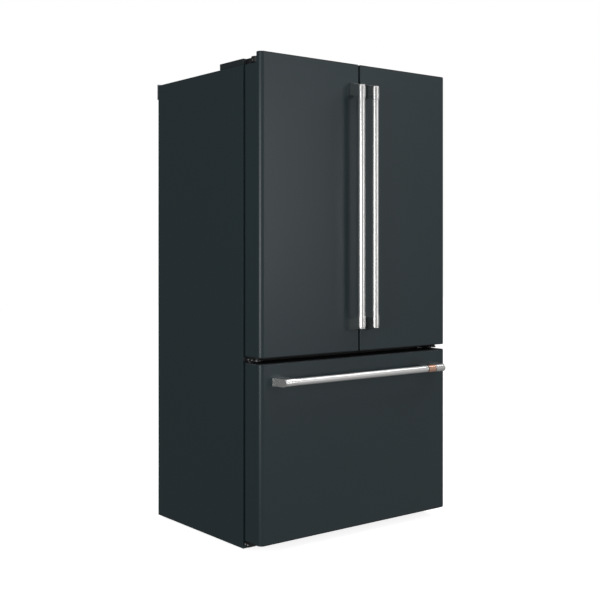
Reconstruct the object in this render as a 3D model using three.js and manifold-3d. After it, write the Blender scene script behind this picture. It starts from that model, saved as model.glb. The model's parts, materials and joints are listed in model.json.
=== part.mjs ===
// French door refrigerator: two upper doors and one freezer drawer.
// Millimetres, +Z up. The doors face -Y, and the origin is on the floor under the middle of the outer box.

import * as THREE from "three";
import { mergeVertices } from "three/addons/utils/BufferGeometryUtils.js";
import Module from "manifold-3d";

const wasm = await Module();
wasm.setup();

// ---- Driving dimensions ----------------------------------------------------

const WIDTH = 908;
const DEPTH = 796.6;
const DOOR_TOP = 1776.1;
const CASE_TOP = 1740.6;
const CASE_BOTTOM = 8;
const HANDLE_REACH = 68;
const DOOR_STAND = 107.8;
const REAR_LIP_DEPTH = 7.7;
const GAP = 0.3;
const SHEET = 1.5;
const ARC_STEPS = 6;

const HALF = WIDTH / 2;
const BACK = DEPTH / 2;
const DOOR_FACE = HANDLE_REACH - BACK;
const CASE_FRONT = DOOR_FACE + DOOR_STAND;
const CASE_BACK = BACK - REAR_LIP_DEPTH;
const CASE_INSIDE = HALF - SHEET - GAP;

// Front frame of the cabinet: the folded sheet edge, then the liners' flanges.
const WRAPPER_FLANGE = 24;
const LINER_FLANGE_X = HALF - WRAPPER_FLANGE - GAP;
const LINER_WALL = 2;
const FLANGE_BACK = CASE_FRONT + 1.8;
const FOAM_FRONT = FLANGE_BACK + GAP;
const FOAM_BACK = CASE_BACK - SHEET - GAP;
const RAIL_MIDDLE = 686;
const BASE_TOP = 60.3;
const MACHINE_FRONT = 172;
const MACHINE_TOP = 238.3;

// Inside faces of the two compartments.
const COMPARTMENT_X = 400;
const FRESH = { bottom: 722, top: 1688, back: 328, radius: 25 };
const FREEZER = { bottom: 102, top: 648, back: 298, stepY: 125, stepZ: 285 };

// Doors and drawer front.
const DOOR_BACK = DOOR_FACE + 94;
const DOOR_BOTTOM = 696.1;
const DOOR_BODY_TOP = 1738;
const DOOR_SLAB = 24.7;
const DOOR_SPLIT = 8;
const DRAWER_BOTTOM = 37;
const DRAWER_TOP = 675.8;
const OUTER_EDGE_RADIUS = 18.5;
const INNER_EDGE_RADIUS = 3;
const PAN_FACE = DOOR_BACK + 4.3;
const DIKE_BACK = -165;
const DIKE_BOTTOM = 930;
const DIKE_TOP = 1670;
const GASKET_BACK = CASE_FRONT - GAP;
const GASKET_WIDTH = 14;
const GASKET_OUTER_X = 430;
const GASKET_INNER_X = 6;

// Door hinges: one vertical axis near each side.
const HINGE_X = 431;
const HINGE_Y = DOOR_FACE + 50;
const HINGE_PIN_RADIUS = 5;
const HINGE_BORE_RADIUS = 5.4;

// Handles: a tube held off the door by a flared post at each end.
const TUBE_RADIUS = 12.7;
const COLLAR_RADIUS = 14.7;
const TUBE_STAND_OFF = HANDLE_REACH - COLLAR_RADIUS;
const TUBE_Y = DOOR_FACE - TUBE_STAND_OFF;
const TUBE_BORE_RADIUS = TUBE_RADIUS + GAP;
const POST_LENGTH = 47;
const POST_END_WALL = 5;
const POST_SKEW = 13.5;
const DOOR_HANDLE_X = 33.7;
const DOOR_HANDLE_ENDS = [785.2, 1690.8];
const DRAWER_HANDLE_Z = 611;
const DRAWER_HANDLE_ENDS = [-390, 390];
const RING_SPAN = [299, 341];
const RING_RADIUS = COLLAR_RADIUS;

// Folding mullion on the left door, stored pointing back into the compartment.
const MULLION_X = -27;
const MULLION_Y = -213;
const MULLION_RADIUS = 9;
const MULLION_LENGTH = 57;
const MULLION_SPAN = [745, 1660];
const MULLION_PIN_RADIUS = 3;

// Shelves, crispers, baskets and bins.
const SHELF_X = 398;
const SHELF_FRONT = -100;
const SHELF_BACK = 300;
const SHELF_THICK = 13;
const SHELF_LEVELS = { upper: 1400, lower: 1160, crisper: 900 };
const LEDGE_WIDTH = 10;
const LEDGE_HEIGHT = 12;
const CRISPER = { x: [46, 387], y: [-105, 296], z: [727, 886], wall: 3 };
const CENTRE_HINGE = { armZ: [681, 687], plateZ: [678, 694] };
const BIN = { x: [66, 368], y: [-231.5, -125], height: 100, wall: 3, levels: { lower: 960, upper: 1330 } };
const LOWER_BASKET = { x: 368, y: [-228, 118], z: [108, 292], wall: 3 };
const UPPER_BASKET = { x: 386, y: [-110, 215], z: [372, 540], wall: 3 };

// Drawer slides, three members on each side.
const SLIDE_Y = [-205, 215];
const SLIDE_Z = [300, 345];
const SLIDE_OUTER_X = COMPARTMENT_X - 0.5;
const SLIDE_WALL = 1.8;

// Feet and rollers.
const FOOT_X = 400;
const LEG_X = 385;
const LEG_Y = -150;
const FOOT_RADIUS = 18;
const LEG_HEIGHT = 44;
const ROLLER_Y = 340;
const ROLLER_RADIUS = 22;
const AXLE_RADIUS = 4;

// ---- Shape helpers ---------------------------------------------------------

function solidOf(geometry) {
  const bare = geometry.clone();
  bare.deleteAttribute("normal");
  bare.deleteAttribute("uv");
  const merged = mergeVertices(bare, 1e-4);
  const mesh = new wasm.Mesh({
    numProp: 3,
    vertProperties: new Float32Array(merged.attributes.position.array),
    triVerts: new Uint32Array(merged.index.array),
  });
  return new wasm.Manifold(mesh);
}

function geometryOf(solid) {
  const mesh = solid.getMesh();
  const geometry = new THREE.BufferGeometry();
  geometry.setAttribute("position", new THREE.BufferAttribute(new Float32Array(mesh.vertProperties), 3));
  geometry.setIndex(new THREE.BufferAttribute(new Uint32Array(mesh.triVerts), 1));
  geometry.computeVertexNormals();
  return geometry;
}

function join(first, ...others) {
  return others.reduce((whole, other) => whole.add(other), first);
}

function cut(first, ...tools) {
  return tools.reduce((whole, tool) => whole.subtract(tool), first);
}

function ordered(span) {
  return [Math.min(...span), Math.max(...span)];
}

function mirrored(side, span) {
  return ordered(span.map((value) => side * value));
}

function block(xSpan, ySpan, zSpan) {
  const [x0, x1] = ordered(xSpan);
  const [y0, y1] = ordered(ySpan);
  const [z0, z1] = ordered(zSpan);
  const geometry = new THREE.BoxGeometry(x1 - x0, y1 - y0, z1 - z0);
  geometry.translate((x0 + x1) / 2, (y0 + y1) / 2, (z0 + z1) / 2);
  return solidOf(geometry);
}

function outline(points) {
  return new THREE.Shape(points.map(([u, v]) => new THREE.Vector2(u, v)));
}

function roundedOutline(uSpan, vSpan, radius) {
  const [u0, u1] = ordered(uSpan);
  const [v0, v1] = ordered(vSpan);
  const shape = new THREE.Shape();
  shape.moveTo(u0, v0 + radius);
  shape.absarc(u0 + radius, v0 + radius, radius, Math.PI, 1.5 * Math.PI, false);
  shape.absarc(u1 - radius, v0 + radius, radius, 1.5 * Math.PI, 2 * Math.PI, false);
  shape.absarc(u1 - radius, v1 - radius, radius, 0, 0.5 * Math.PI, false);
  shape.absarc(u0 + radius, v1 - radius, radius, 0.5 * Math.PI, Math.PI, false);
  shape.closePath();
  return shape;
}

// A door section seen from above, with its two front corners rounded.
function frontOutline(xSpan, ySpan, leftRadius, rightRadius) {
  const [x0, x1] = ordered(xSpan);
  const [front, back] = ordered(ySpan);
  const shape = new THREE.Shape();
  shape.moveTo(x0, back);
  shape.lineTo(x0, front + leftRadius);
  shape.absarc(x0 + leftRadius, front + leftRadius, leftRadius, Math.PI, 1.5 * Math.PI, false);
  shape.absarc(x1 - rightRadius, front + rightRadius, rightRadius, 1.5 * Math.PI, 2 * Math.PI, false);
  shape.lineTo(x1, back);
  shape.closePath();
  return shape;
}

function extruded(shape, length) {
  return new THREE.ExtrudeGeometry(shape, { depth: length, bevelEnabled: false, curveSegments: ARC_STEPS });
}

// The outline holds (x, y) and runs along Z.
function prismZ(shape, zSpan) {
  const [z0, z1] = ordered(zSpan);
  return solidOf(extruded(shape, z1 - z0).translate(0, 0, z0));
}

// The outline holds (y, z) and runs along X.
function prismX(shape, xSpan) {
  const [x0, x1] = ordered(xSpan);
  const turn = new THREE.Matrix4().makeBasis(
    new THREE.Vector3(0, 1, 0),
    new THREE.Vector3(0, 0, 1),
    new THREE.Vector3(1, 0, 0),
  );
  return solidOf(extruded(shape, x1 - x0).applyMatrix4(turn).translate(x0, 0, 0));
}

// The outline holds (x, z) and runs along Y.
function prismY(shape, ySpan) {
  const [y0, y1] = ordered(ySpan);
  const turn = new THREE.Matrix4().makeBasis(
    new THREE.Vector3(1, 0, 0),
    new THREE.Vector3(0, 0, 1),
    new THREE.Vector3(0, -1, 0),
  );
  return solidOf(extruded(shape, y1 - y0).applyMatrix4(turn).translate(0, y1, 0));
}

function rodZ(radius, x, y, zSpan, sides = 16) {
  const [z0, z1] = ordered(zSpan);
  const geometry = new THREE.CylinderGeometry(radius, radius, z1 - z0, sides);
  geometry.rotateX(Math.PI / 2);
  geometry.translate(x, y, (z0 + z1) / 2);
  return solidOf(geometry);
}

function rodX(radius, xSpan, y, z, sides = 16) {
  const [x0, x1] = ordered(xSpan);
  const geometry = new THREE.CylinderGeometry(radius, radius, x1 - x0, sides);
  geometry.rotateZ(Math.PI / 2);
  geometry.translate((x0 + x1) / 2, y, z);
  return solidOf(geometry);
}

// A profile of (radius, height) points turned about a vertical axis through (x, y).
function turnedZ(profile, x, y, steps) {
  const points = profile.map(([radius, height]) => new THREE.Vector2(radius, height));
  const geometry = new THREE.LatheGeometry(points, steps);
  geometry.rotateX(Math.PI / 2);
  geometry.translate(x, y, 0);
  return solidOf(geometry);
}

// An open box with walls of one thickness and no lid.
function tray(xSpan, ySpan, zSpan, wall) {
  const [x0, x1] = ordered(xSpan);
  const [y0, y1] = ordered(ySpan);
  const [z0, z1] = ordered(zSpan);
  const outside = block([x0, x1], [y0, y1], [z0, z1]);
  const inside = block([x0 + wall, x1 - wall], [y0 + wall, y1 - wall], [z0 + wall, z1 + wall]);
  return cut(outside, inside);
}

// ---- Materials -------------------------------------------------------------

const FINISHES = {
  slatePaint: { color: 0x31393c, roughness: 0.45, metalness: 0.2 },
  darkPlastic: { color: 0x15191b, roughness: 0.6, metalness: 0 },
  whiteLiner: { color: 0xe9ebea, roughness: 0.4, metalness: 0 },
  foam: { color: 0xd9c98f, roughness: 0.95, metalness: 0 },
  greyRubber: { color: 0x4b5052, roughness: 0.85, metalness: 0 },
  stainless: { color: 0xc9cbcb, roughness: 0.3, metalness: 1 },
  copper: { color: 0xb87a5c, roughness: 0.28, metalness: 1 },
  zincSteel: { color: 0x9fa3a5, roughness: 0.4, metalness: 0.9 },
  clearPlastic: { color: 0xdfe8ea, roughness: 0.15, metalness: 0 },
  shelfGlass: { color: 0xc5dbd8, roughness: 0.08, metalness: 0 },
  blackPaint: { color: 0x101112, roughness: 0.5, metalness: 0.2 },
  aluminium: { color: 0xb9bcbd, roughness: 0.45, metalness: 0.9 },
  nylon: { color: 0xdadad6, roughness: 0.6, metalness: 0 },
};

const refrigerator = new THREE.Group();
refrigerator.name = "french_door_refrigerator";

function addPiece(group, name, solid, finish) {
  const mesh = new THREE.Mesh(geometryOf(solid), new THREE.MeshStandardMaterial(FINISHES[finish]));
  mesh.name = name;
  group.add(mesh);
}

function newGroup() {
  const group = new THREE.Group();
  refrigerator.add(group);
  return group;
}

const SIDES = [
  { word: "left", sign: -1 },
  { word: "right", sign: 1 },
];

// ---- Cabinet ---------------------------------------------------------------

function outerWrapper() {
  const sleeve = cut(
    block([-HALF, HALF], [CASE_FRONT, CASE_BACK], [CASE_BOTTOM, CASE_TOP]),
    block(
      [-HALF + SHEET, HALF - SHEET],
      [CASE_FRONT - 1, CASE_BACK + 1],
      [CASE_BOTTOM - 1, CASE_TOP - SHEET],
    ),
  );
  const frontFrame = cut(
    block([-HALF, HALF], [CASE_FRONT, CASE_FRONT + SHEET], [CASE_BOTTOM, CASE_TOP]),
    block(
      [-HALF + WRAPPER_FLANGE, HALF - WRAPPER_FLANGE],
      [CASE_FRONT - 1, CASE_FRONT + SHEET + 1],
      [CASE_BOTTOM - 1, CASE_TOP - WRAPPER_FLANGE],
    ),
  );
  return join(sleeve, frontFrame);
}

function rearPanel() {
  const lipFront = CASE_BACK + GAP;
  const sheet = block(
    [-CASE_INSIDE, CASE_INSIDE],
    [CASE_BACK - SHEET, lipFront + GAP],
    [MACHINE_TOP + GAP, CASE_TOP - SHEET - GAP],
  );
  const lip = block([-HALF, HALF], [lipFront, BACK], [1684, 1745]);
  return join(sheet, lip);
}

function freezerSection(margin) {
  return outline([
    [FOAM_FRONT - 5, FREEZER.bottom - margin],
    [FREEZER.stepY + margin, FREEZER.bottom - margin],
    [FREEZER.stepY + margin, FREEZER.stepZ - margin],
    [FREEZER.back + margin, FREEZER.stepZ - margin],
    [FREEZER.back + margin, FREEZER.top + margin],
    [FOAM_FRONT - 5, FREEZER.top + margin],
  ]);
}

function compartmentX(margin) {
  return [-COMPARTMENT_X - margin, COMPARTMENT_X + margin];
}

function freshCavity(margin) {
  const mouth = roundedOutline(
    compartmentX(margin),
    [FRESH.bottom - margin, FRESH.top + margin],
    FRESH.radius + margin,
  );
  return prismY(mouth, [FOAM_FRONT - 5, FRESH.back + margin]);
}

function cabinetInsulation() {
  const section = outline([
    [FOAM_FRONT, BASE_TOP + GAP],
    [MACHINE_FRONT, BASE_TOP + GAP],
    [MACHINE_FRONT, MACHINE_TOP + GAP],
    [FOAM_BACK, MACHINE_TOP + GAP],
    [FOAM_BACK, CASE_TOP - SHEET - GAP],
    [FOAM_FRONT, CASE_TOP - SHEET - GAP],
  ]);
  const margin = LINER_WALL + GAP;
  return cut(
    prismX(section, [-CASE_INSIDE, CASE_INSIDE]),
    freshCavity(margin),
    prismX(freezerSection(margin), compartmentX(margin)),
  );
}

function linerLedge(side, top, ySpan) {
  const inner = COMPARTMENT_X - LEDGE_WIDTH;
  return block(mirrored(side, [inner, COMPARTMENT_X + 1]), ySpan, [top - LEDGE_HEIGHT, top]);
}

function freshFoodLiner() {
  const shellMouth = roundedOutline(
    compartmentX(LINER_WALL),
    [FRESH.bottom - LINER_WALL, FRESH.top + LINER_WALL],
    FRESH.radius + LINER_WALL,
  );
  const shell = prismY(shellMouth, [CASE_FRONT, FRESH.back + LINER_WALL]);
  const flange = block(
    [-LINER_FLANGE_X, LINER_FLANGE_X],
    [CASE_FRONT, FLANGE_BACK],
    [RAIL_MIDDLE + GAP, CASE_TOP - WRAPPER_FLANGE - GAP],
  );
  const hollow = cut(join(shell, flange), freshCavity(0));
  const ledges = [];
  for (const { sign } of SIDES) {
    for (const level of Object.values(SHELF_LEVELS)) {
      ledges.push(linerLedge(sign, level - GAP, [SHELF_FRONT, SHELF_BACK]));
    }
  }
  return join(hollow, ...ledges);
}

function freezerLiner() {
  const shell = cut(
    prismX(freezerSection(LINER_WALL), compartmentX(LINER_WALL)),
    block([-HALF, HALF], [CASE_FRONT - 20, CASE_FRONT], [0, RAIL_MIDDLE]),
  );
  const flange = block(
    [-LINER_FLANGE_X, LINER_FLANGE_X],
    [CASE_FRONT, FLANGE_BACK],
    [BASE_TOP + GAP, RAIL_MIDDLE - GAP],
  );
  const hollow = cut(join(shell, flange), prismX(freezerSection(0), compartmentX(0)));
  const ledgeTop = UPPER_BASKET.z[0] - GAP;
  const ledges = SIDES.map(({ sign }) => linerLedge(sign, ledgeTop, [-200, 220]));
  return join(hollow, ...ledges);
}

// Brackets under the drawer front at the two lower corners of the case.
const CORNER_REACH = 30;
const CORNER_Z = [18, 33];
const CONDENSER = { x: [150, 368], y: [210, 350], z: [20, 180] };
const EVAPORATOR = { x: [-240, 240], y: [242, 288], z: [300, 490] };
const EVAPORATOR_FAN_CENTRE = [0, 262, 567];
const CONDENSER_FAN = { x: 60, y: 285, z: 120 };

function rollerBracket(side) {
  const ears = [[FOOT_X - 15, FOOT_X - 12], [FOOT_X + 12, FOOT_X + 15]].map((span) =>
    block(mirrored(side, span), [ROLLER_Y - 9, ROLLER_Y + 9], [CASE_BOTTOM, ROLLER_RADIUS + 12]));
  const axle = rodX(AXLE_RADIUS, mirrored(side, [FOOT_X - 14, FOOT_X + 14]), ROLLER_Y, ROLLER_RADIUS, 12);
  return join(axle, ...ears);
}

function baseFrame() {
  const plateTop = CASE_BOTTOM + 2;
  const plateBack = CASE_BACK - SHEET - GAP;
  const plateFront = CASE_FRONT + SHEET + GAP;
  const railTop = BASE_TOP - GAP;
  let plate = block([-CASE_INSIDE, CASE_INSIDE], [plateFront, plateBack], [CASE_BOTTOM, plateTop]);
  for (const { sign } of SIDES) {
    const slotX = mirrored(sign, [FOOT_X - 11.5, FOOT_X + 11.5]);
    const throughPlate = [CASE_BOTTOM - 1, plateTop + 1];
    const slot = block(slotX, [ROLLER_Y - 28, ROLLER_Y + 28], throughPlate);
    const legHole = rodZ(HINGE_BORE_RADIUS, sign * LEG_X, LEG_Y, throughPlate);
    plate = cut(plate, slot, legHole);
  }
  const frontRail = block(
    [-LINER_FLANGE_X, LINER_FLANGE_X],
    [CASE_FRONT, plateFront + 1],
    [CASE_BOTTOM, railTop],
  );
  const walls = SIDES.map(({ sign }) =>
    block(mirrored(sign, [CASE_INSIDE - 2, CASE_INSIDE]), [plateFront, plateBack], [CASE_BOTTOM, railTop]));
  const cornerX = [HALF - 34, HALF - 4];
  const corners = SIDES.map(({ sign }) =>
    block(mirrored(sign, cornerX), [CASE_FRONT - CORNER_REACH, CASE_FRONT - GAP], CORNER_Z));
  const cornerTabs = SIDES.map(({ sign }) =>
    block(mirrored(sign, [cornerX[0], LINER_FLANGE_X - 2]), [CASE_FRONT - 2, CASE_FRONT + 1], CORNER_Z));
  const { x, y, z } = CONDENSER_FAN;
  const motor = rodX(20, [x + 24, x + 52], y, z);
  const strut = block([x + 32, x + 44], [y - 13, y + 13], [CASE_BOTTOM, z]);
  const brackets = SIDES.map(({ sign }) => rollerBracket(sign));
  return join(plate, frontRail, ...walls, ...corners, ...cornerTabs, motor, strut, ...brackets);
}

function levellingLeg(side) {
  const foot = [[0, 0], [FOOT_RADIUS, 0], [FOOT_RADIUS, 5], [12, 7.2], [HINGE_PIN_RADIUS, 7.4]];
  const profile = [...foot, [HINGE_PIN_RADIUS, LEG_HEIGHT], [0, LEG_HEIGHT]];
  return turnedZ(profile, side * LEG_X, LEG_Y, 20);
}

function rearRoller(side) {
  const wheelX = mirrored(side, [FOOT_X - 9.5, FOOT_X + 9.5]);
  const wheel = rodX(ROLLER_RADIUS, wheelX, ROLLER_Y, ROLLER_RADIUS, 28);
  return cut(wheel, rodX(AXLE_RADIUS + 0.4, [side * 350, side * 450], ROLLER_Y, ROLLER_RADIUS, 12));
}

// ---- Hinges and top cover --------------------------------------------------

const KNUCKLE_RADIUS = 14;
const TOP_KNUCKLE_RADIUS = 22.5;
const ARM_X = [HINGE_X - 19, HINGE_X + 8];
const TOP_ARM_Z = [CASE_TOP + 1.4, CASE_TOP + 7.4];
const COVER_Y = [CASE_FRONT, CASE_FRONT + 154.2];
const COVER_TOP = 1762.8;

function topCover() {
  const wall = 2.5;
  const outside = block([-HALF, HALF], COVER_Y, [CASE_TOP + GAP, COVER_TOP]);
  const inside = block(
    [-HALF + wall, HALF - wall],
    [COVER_Y[0] + wall, COVER_Y[1] - wall],
    [CASE_TOP, COVER_TOP - wall],
  );
  const notchX = [ARM_X[0] - 2, ARM_X[1] + 2];
  const notches = SIDES.map(({ sign }) =>
    block(mirrored(sign, notchX), [CASE_FRONT - 1, CASE_FRONT + 5], [CASE_TOP, TOP_ARM_Z[1] + 1.6]));
  return cut(outside, inside, ...notches);
}

function topHinge(side) {
  const x = side * HINGE_X;
  const arm = block(mirrored(side, ARM_X), [HINGE_Y, CASE_FRONT + 120], TOP_ARM_Z);
  const footX = mirrored(side, [HINGE_X - 60, ARM_X[1]]);
  const foot = block(footX, [CASE_FRONT + 40, CASE_FRONT + 120], TOP_ARM_Z);
  const armCover = block(mirrored(side, ARM_X), [HINGE_Y, CASE_FRONT - 1], [TOP_ARM_Z[0], COVER_TOP]);
  const knuckle = rodZ(TOP_KNUCKLE_RADIUS, x, HINGE_Y, [TOP_ARM_Z[0], COVER_TOP], 32);
  const pin = rodZ(HINGE_PIN_RADIUS, x, HINGE_Y, [TOP_ARM_Z[0] - 40, TOP_ARM_Z[1]]);
  return join(arm, foot, armCover, knuckle, pin);
}

function centreHinge(side) {
  const x = side * HINGE_X;
  const armZ = CENTRE_HINGE.armZ;
  const plateX = mirrored(side, [402, HALF - 2]);
  const plate = block(plateX, [CASE_FRONT - 3.3, CASE_FRONT - GAP], CENTRE_HINGE.plateZ);
  const arm = block(mirrored(side, ARM_X), [HINGE_Y, CASE_FRONT - GAP], armZ);
  const knuckle = rodZ(KNUCKLE_RADIUS, x, HINGE_Y, armZ, 24);
  const washer = rodZ(9, x, HINGE_Y, [armZ[1], DOOR_BOTTOM - GAP]);
  const pin = rodZ(HINGE_PIN_RADIUS, x, HINGE_Y, [armZ[0], DOOR_BOTTOM + 30]);
  return join(plate, arm, knuckle, washer, pin);
}

// ---- Cooling system --------------------------------------------------------

function finnedCoil(xSpan, ySpan, zSpan, finCount, tubeRows) {
  const [x0, x1] = ordered(xSpan);
  const [y0, y1] = ordered(ySpan);
  const [z0, z1] = ordered(zSpan);
  const tubeRadius = 4;
  const finThick = 1.5;
  const pitch = (x1 - x0 - finThick) / (finCount - 1);
  const fins = [];
  for (let index = 0; index < finCount; index += 1) {
    const left = x0 + index * pitch;
    fins.push(block([left, left + finThick], [y0, y1], [z0, z1]));
  }
  const tubes = [];
  for (let row = 0; row < tubeRows; row += 1) {
    const z = z0 + ((row + 0.5) * (z1 - z0)) / tubeRows;
    tubes.push(rodX(tubeRadius, [x0 - 8, x1 + 8], (y0 + y1) / 2, z, 8));
  }
  return join(fins[0], ...tubes, ...fins.slice(1));
}

// Blades turned about the hub's own axis, which is X; turn gives the shaft's final direction.
function fanRotor(centre, hubRadius, tipRadius, bladeCount, turn) {
  const hub = new THREE.CylinderGeometry(hubRadius, hubRadius, 24, 20).rotateZ(Math.PI / 2);
  const parts = [hub];
  const bladeLength = tipRadius - hubRadius + 4;
  for (let index = 0; index < bladeCount; index += 1) {
    const blade = new THREE.BoxGeometry(2, tipRadius * 0.7, bladeLength);
    blade.translate(0, 0, hubRadius - 4 + bladeLength / 2);
    blade.rotateZ(0.45);
    blade.rotateX((index * 2 * Math.PI) / bladeCount);
    parts.push(blade);
  }
  const placed = parts.map((geometry) => solidOf(geometry.rotateZ(turn).translate(...centre)));
  return join(placed[0], ...placed.slice(1));
}

function compressor() {
  const centre = { x: -270, y: 285 };
  const can = turnedZ(
    [[0, 16], [70, 16], [78, 30], [78, 130], [72, 158], [56, 178], [30, 189], [0, 192]],
    centre.x,
    centre.y,
    28,
  );
  const plate = block([centre.x - 100, centre.x + 100], [centre.y - 80, centre.y + 80], [12, 17]);
  const terminalBox = block([centre.x + 68, centre.x + 98], [centre.y - 22, centre.y + 22], [70, 120]);
  return join(can, plate, terminalBox);
}

function slottedSheet(xSpan, ySpan, zSpan, slotGroups) {
  let sheet = block(xSpan, ySpan, zSpan);
  for (const { centreX, width, height, firstZ, pitch, count } of slotGroups) {
    for (let index = 0; index < count; index += 1) {
      const z = firstZ + index * pitch;
      const slotY = [ySpan[0] - 1, ySpan[1] + 1];
      sheet = cut(sheet, block([centreX - width / 2, centreX + width / 2], slotY, [z, z + height]));
    }
  }
  return sheet;
}

const INLET = { x: [-424, -376], z: [186, 214] };

function machineCover() {
  const vents = [-270, 80, 290].map((centreX) =>
    ({ centreX, width: 150, height: 8, firstZ: 60, pitch: 20, count: 6 }));
  const ySpan = [CASE_BACK - SHEET, CASE_BACK];
  const sheet = slottedSheet([-CASE_INSIDE, CASE_INSIDE], ySpan, [CASE_BOTTOM + 3, MACHINE_TOP], vents);
  const inletHole = block(
    [INLET.x[0] - GAP, INLET.x[1] + GAP],
    [CASE_BACK - 5, CASE_BACK + 5],
    [INLET.z[0] - GAP, INLET.z[1] + GAP],
  );
  return cut(sheet, inletHole);
}

function powerInlet() {
  const [x0, x1] = INLET.x;
  const [z0, z1] = INLET.z;
  const body = block([x0, x1], [CASE_BACK - 24, CASE_BACK + 2], [z0, z1]);
  const socket = block([x0 + 8, x1 - 8], [CASE_BACK - 16, CASE_BACK + 3], [z0 + 5, z1 - 5]);
  const bladeZ = [198, 203];
  const blades = [-9, 0, 9].map((offset) => {
    const x = (x0 + x1) / 2 + offset;
    return block([x - 1, x + 1], [CASE_BACK - 17, CASE_BACK - 4], bladeZ);
  });
  return join(cut(body, socket), ...blades);
}

function evaporatorCover() {
  const vents = [
    { centreX: 0, width: 90, height: 6, firstZ: 535, pitch: 12, count: 6 },
    { centreX: -220, width: 160, height: 7, firstZ: 305, pitch: 16, count: 3 },
    { centreX: 220, width: 160, height: 7, firstZ: 305, pitch: 16, count: 3 },
  ];
  const xSpan = [-COMPARTMENT_X + 0.5, COMPARTMENT_X - 0.5];
  const zSpan = [FREEZER.stepZ + 0.5, FREEZER.top - 0.5];
  return slottedSheet(xSpan, [228, 231], zSpan, vents);
}

// ---- Fresh food compartment ------------------------------------------------

function glassShelf(level) {
  const frame = 14;
  const whole = block([-SHELF_X, SHELF_X], [SHELF_FRONT, SHELF_BACK], [level, level + SHELF_THICK]);
  const recess = block(
    [-SHELF_X + frame, SHELF_X - frame],
    [SHELF_FRONT + frame, SHELF_BACK - frame],
    [level + 8, level + SHELF_THICK + 1],
  );
  const underside = block(
    [-SHELF_X + frame, SHELF_X - frame],
    [SHELF_FRONT + frame, SHELF_BACK - frame],
    [level - 1, level + 4],
  );
  return cut(whole, recess, underside);
}

function crisperCover() {
  const level = SHELF_LEVELS.crisper;
  const post = block([-30, 30], [-96, -84], [FRESH.bottom + GAP, level + 5]);
  const partition = block([-2, 2], [-90, 290], [FRESH.bottom + 30, level + 5]);
  return join(glassShelf(level), post, partition);
}

function crisper(side) {
  const xSpan = mirrored(side, CRISPER.x);
  const body = tray(xSpan, CRISPER.y, CRISPER.z, CRISPER.wall);
  const [front, top] = [CRISPER.y[0], CRISPER.z[1]];
  const grip = block(mirrored(side, [150, 283]), [front - 10, front + 1], [top - 22, top]);
  return join(body, grip);
}

// ---- Doors -----------------------------------------------------------------

function doorSpanX(side, inset) {
  return mirrored(side, [DOOR_SPLIT / 2 + inset, HALF - inset]);
}

function doorSection(side, inset, back) {
  const outer = OUTER_EDGE_RADIUS - inset;
  const inner = INNER_EDGE_RADIUS - Math.min(inset, INNER_EDGE_RADIUS - 1);
  const radii = side < 0 ? [outer, inner] : [inner, outer];
  return frontOutline(doorSpanX(side, inset), [DOOR_FACE + inset, back], ...radii);
}

function hingeBores(side) {
  const x = side * HINGE_X;
  return [
    rodZ(HINGE_BORE_RADIUS, x, HINGE_Y, [DOOR_BOTTOM - 1, DOOR_BOTTOM + 32]),
    rodZ(HINGE_BORE_RADIUS, x, HINGE_Y, [DOOR_BODY_TOP - 40, DOOR_BODY_TOP + 1]),
  ];
}

// Folded sheet front. Its face stands above the door body and hides the hinge arm.
function doorSkin(side) {
  const body = prismZ(doorSection(side, 0, DOOR_BACK), [DOOR_BOTTOM, DOOR_BODY_TOP]);
  const crest = prismZ(doorSection(side, 0, DOOR_FACE + DOOR_SLAB), [DOOR_BODY_TOP - 1, DOOR_TOP]);
  const hollowZ = [DOOR_BOTTOM + SHEET, DOOR_BODY_TOP - SHEET];
  const hollow = prismZ(doorSection(side, SHEET, DOOR_BACK + 1), hollowZ);
  return cut(join(body, crest), hollow, ...hingeBores(side));
}

function doorLiner(side) {
  const inset = SHEET + GAP;
  const core = prismZ(doorSection(side, inset, DOOR_BACK), [DOOR_BOTTOM + inset, DOOR_BODY_TOP - inset]);
  const pan = block(mirrored(side, [24, 412]), [DOOR_BACK - 1, PAN_FACE], [720, 1704]);
  const dikes = [[40, 62], [372, 397]].map((span) =>
    block(mirrored(side, span), [PAN_FACE - 1, DIKE_BACK], [DIKE_BOTTOM, DIKE_TOP]));
  return cut(join(core, pan, ...dikes), ...hingeBores(side));
}

function leftDoorLiner() {
  const lugX = [MULLION_X - 11, MULLION_X + 6.5];
  const lugY = [PAN_FACE - 1, MULLION_Y + MULLION_RADIUS];
  const [bottom, top] = MULLION_SPAN;
  const lugs = join(
    block(lugX, lugY, [bottom - 14, bottom - GAP]),
    block(lugX, lugY, [top + GAP, top + 14]),
  );
  const pinHole = rodZ(MULLION_PIN_RADIUS + GAP, MULLION_X, MULLION_Y, [bottom - 20, top + 20]);
  return join(doorLiner(-1), cut(lugs, pinHole));
}

function ringGasket(xSpan, zSpan) {
  const [x0, x1] = ordered(xSpan);
  const [z0, z1] = ordered(zSpan);
  const width = GASKET_WIDTH;
  const ySpan = [DOOR_BACK + GAP, GASKET_BACK];
  return cut(
    block([x0, x1], ySpan, [z0, z1]),
    block([x0 + width, x1 - width], [ySpan[0] - 1, ySpan[1] + 1], [z0 + width, z1 - width]),
  );
}

function mullion() {
  const far = MULLION_Y + MULLION_LENGTH;
  const shape = new THREE.Shape();
  shape.moveTo(MULLION_X - MULLION_RADIUS, far);
  shape.lineTo(MULLION_X - MULLION_RADIUS, MULLION_Y);
  shape.absarc(MULLION_X, MULLION_Y, MULLION_RADIUS, Math.PI, 2 * Math.PI, false);
  shape.lineTo(MULLION_X + MULLION_RADIUS, far);
  shape.closePath();
  const [bottom, top] = MULLION_SPAN;
  const pin = rodZ(MULLION_PIN_RADIUS, MULLION_X, MULLION_Y, [bottom - 10, top + 10]);
  return join(prismZ(shape, MULLION_SPAN), pin);
}

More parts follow.
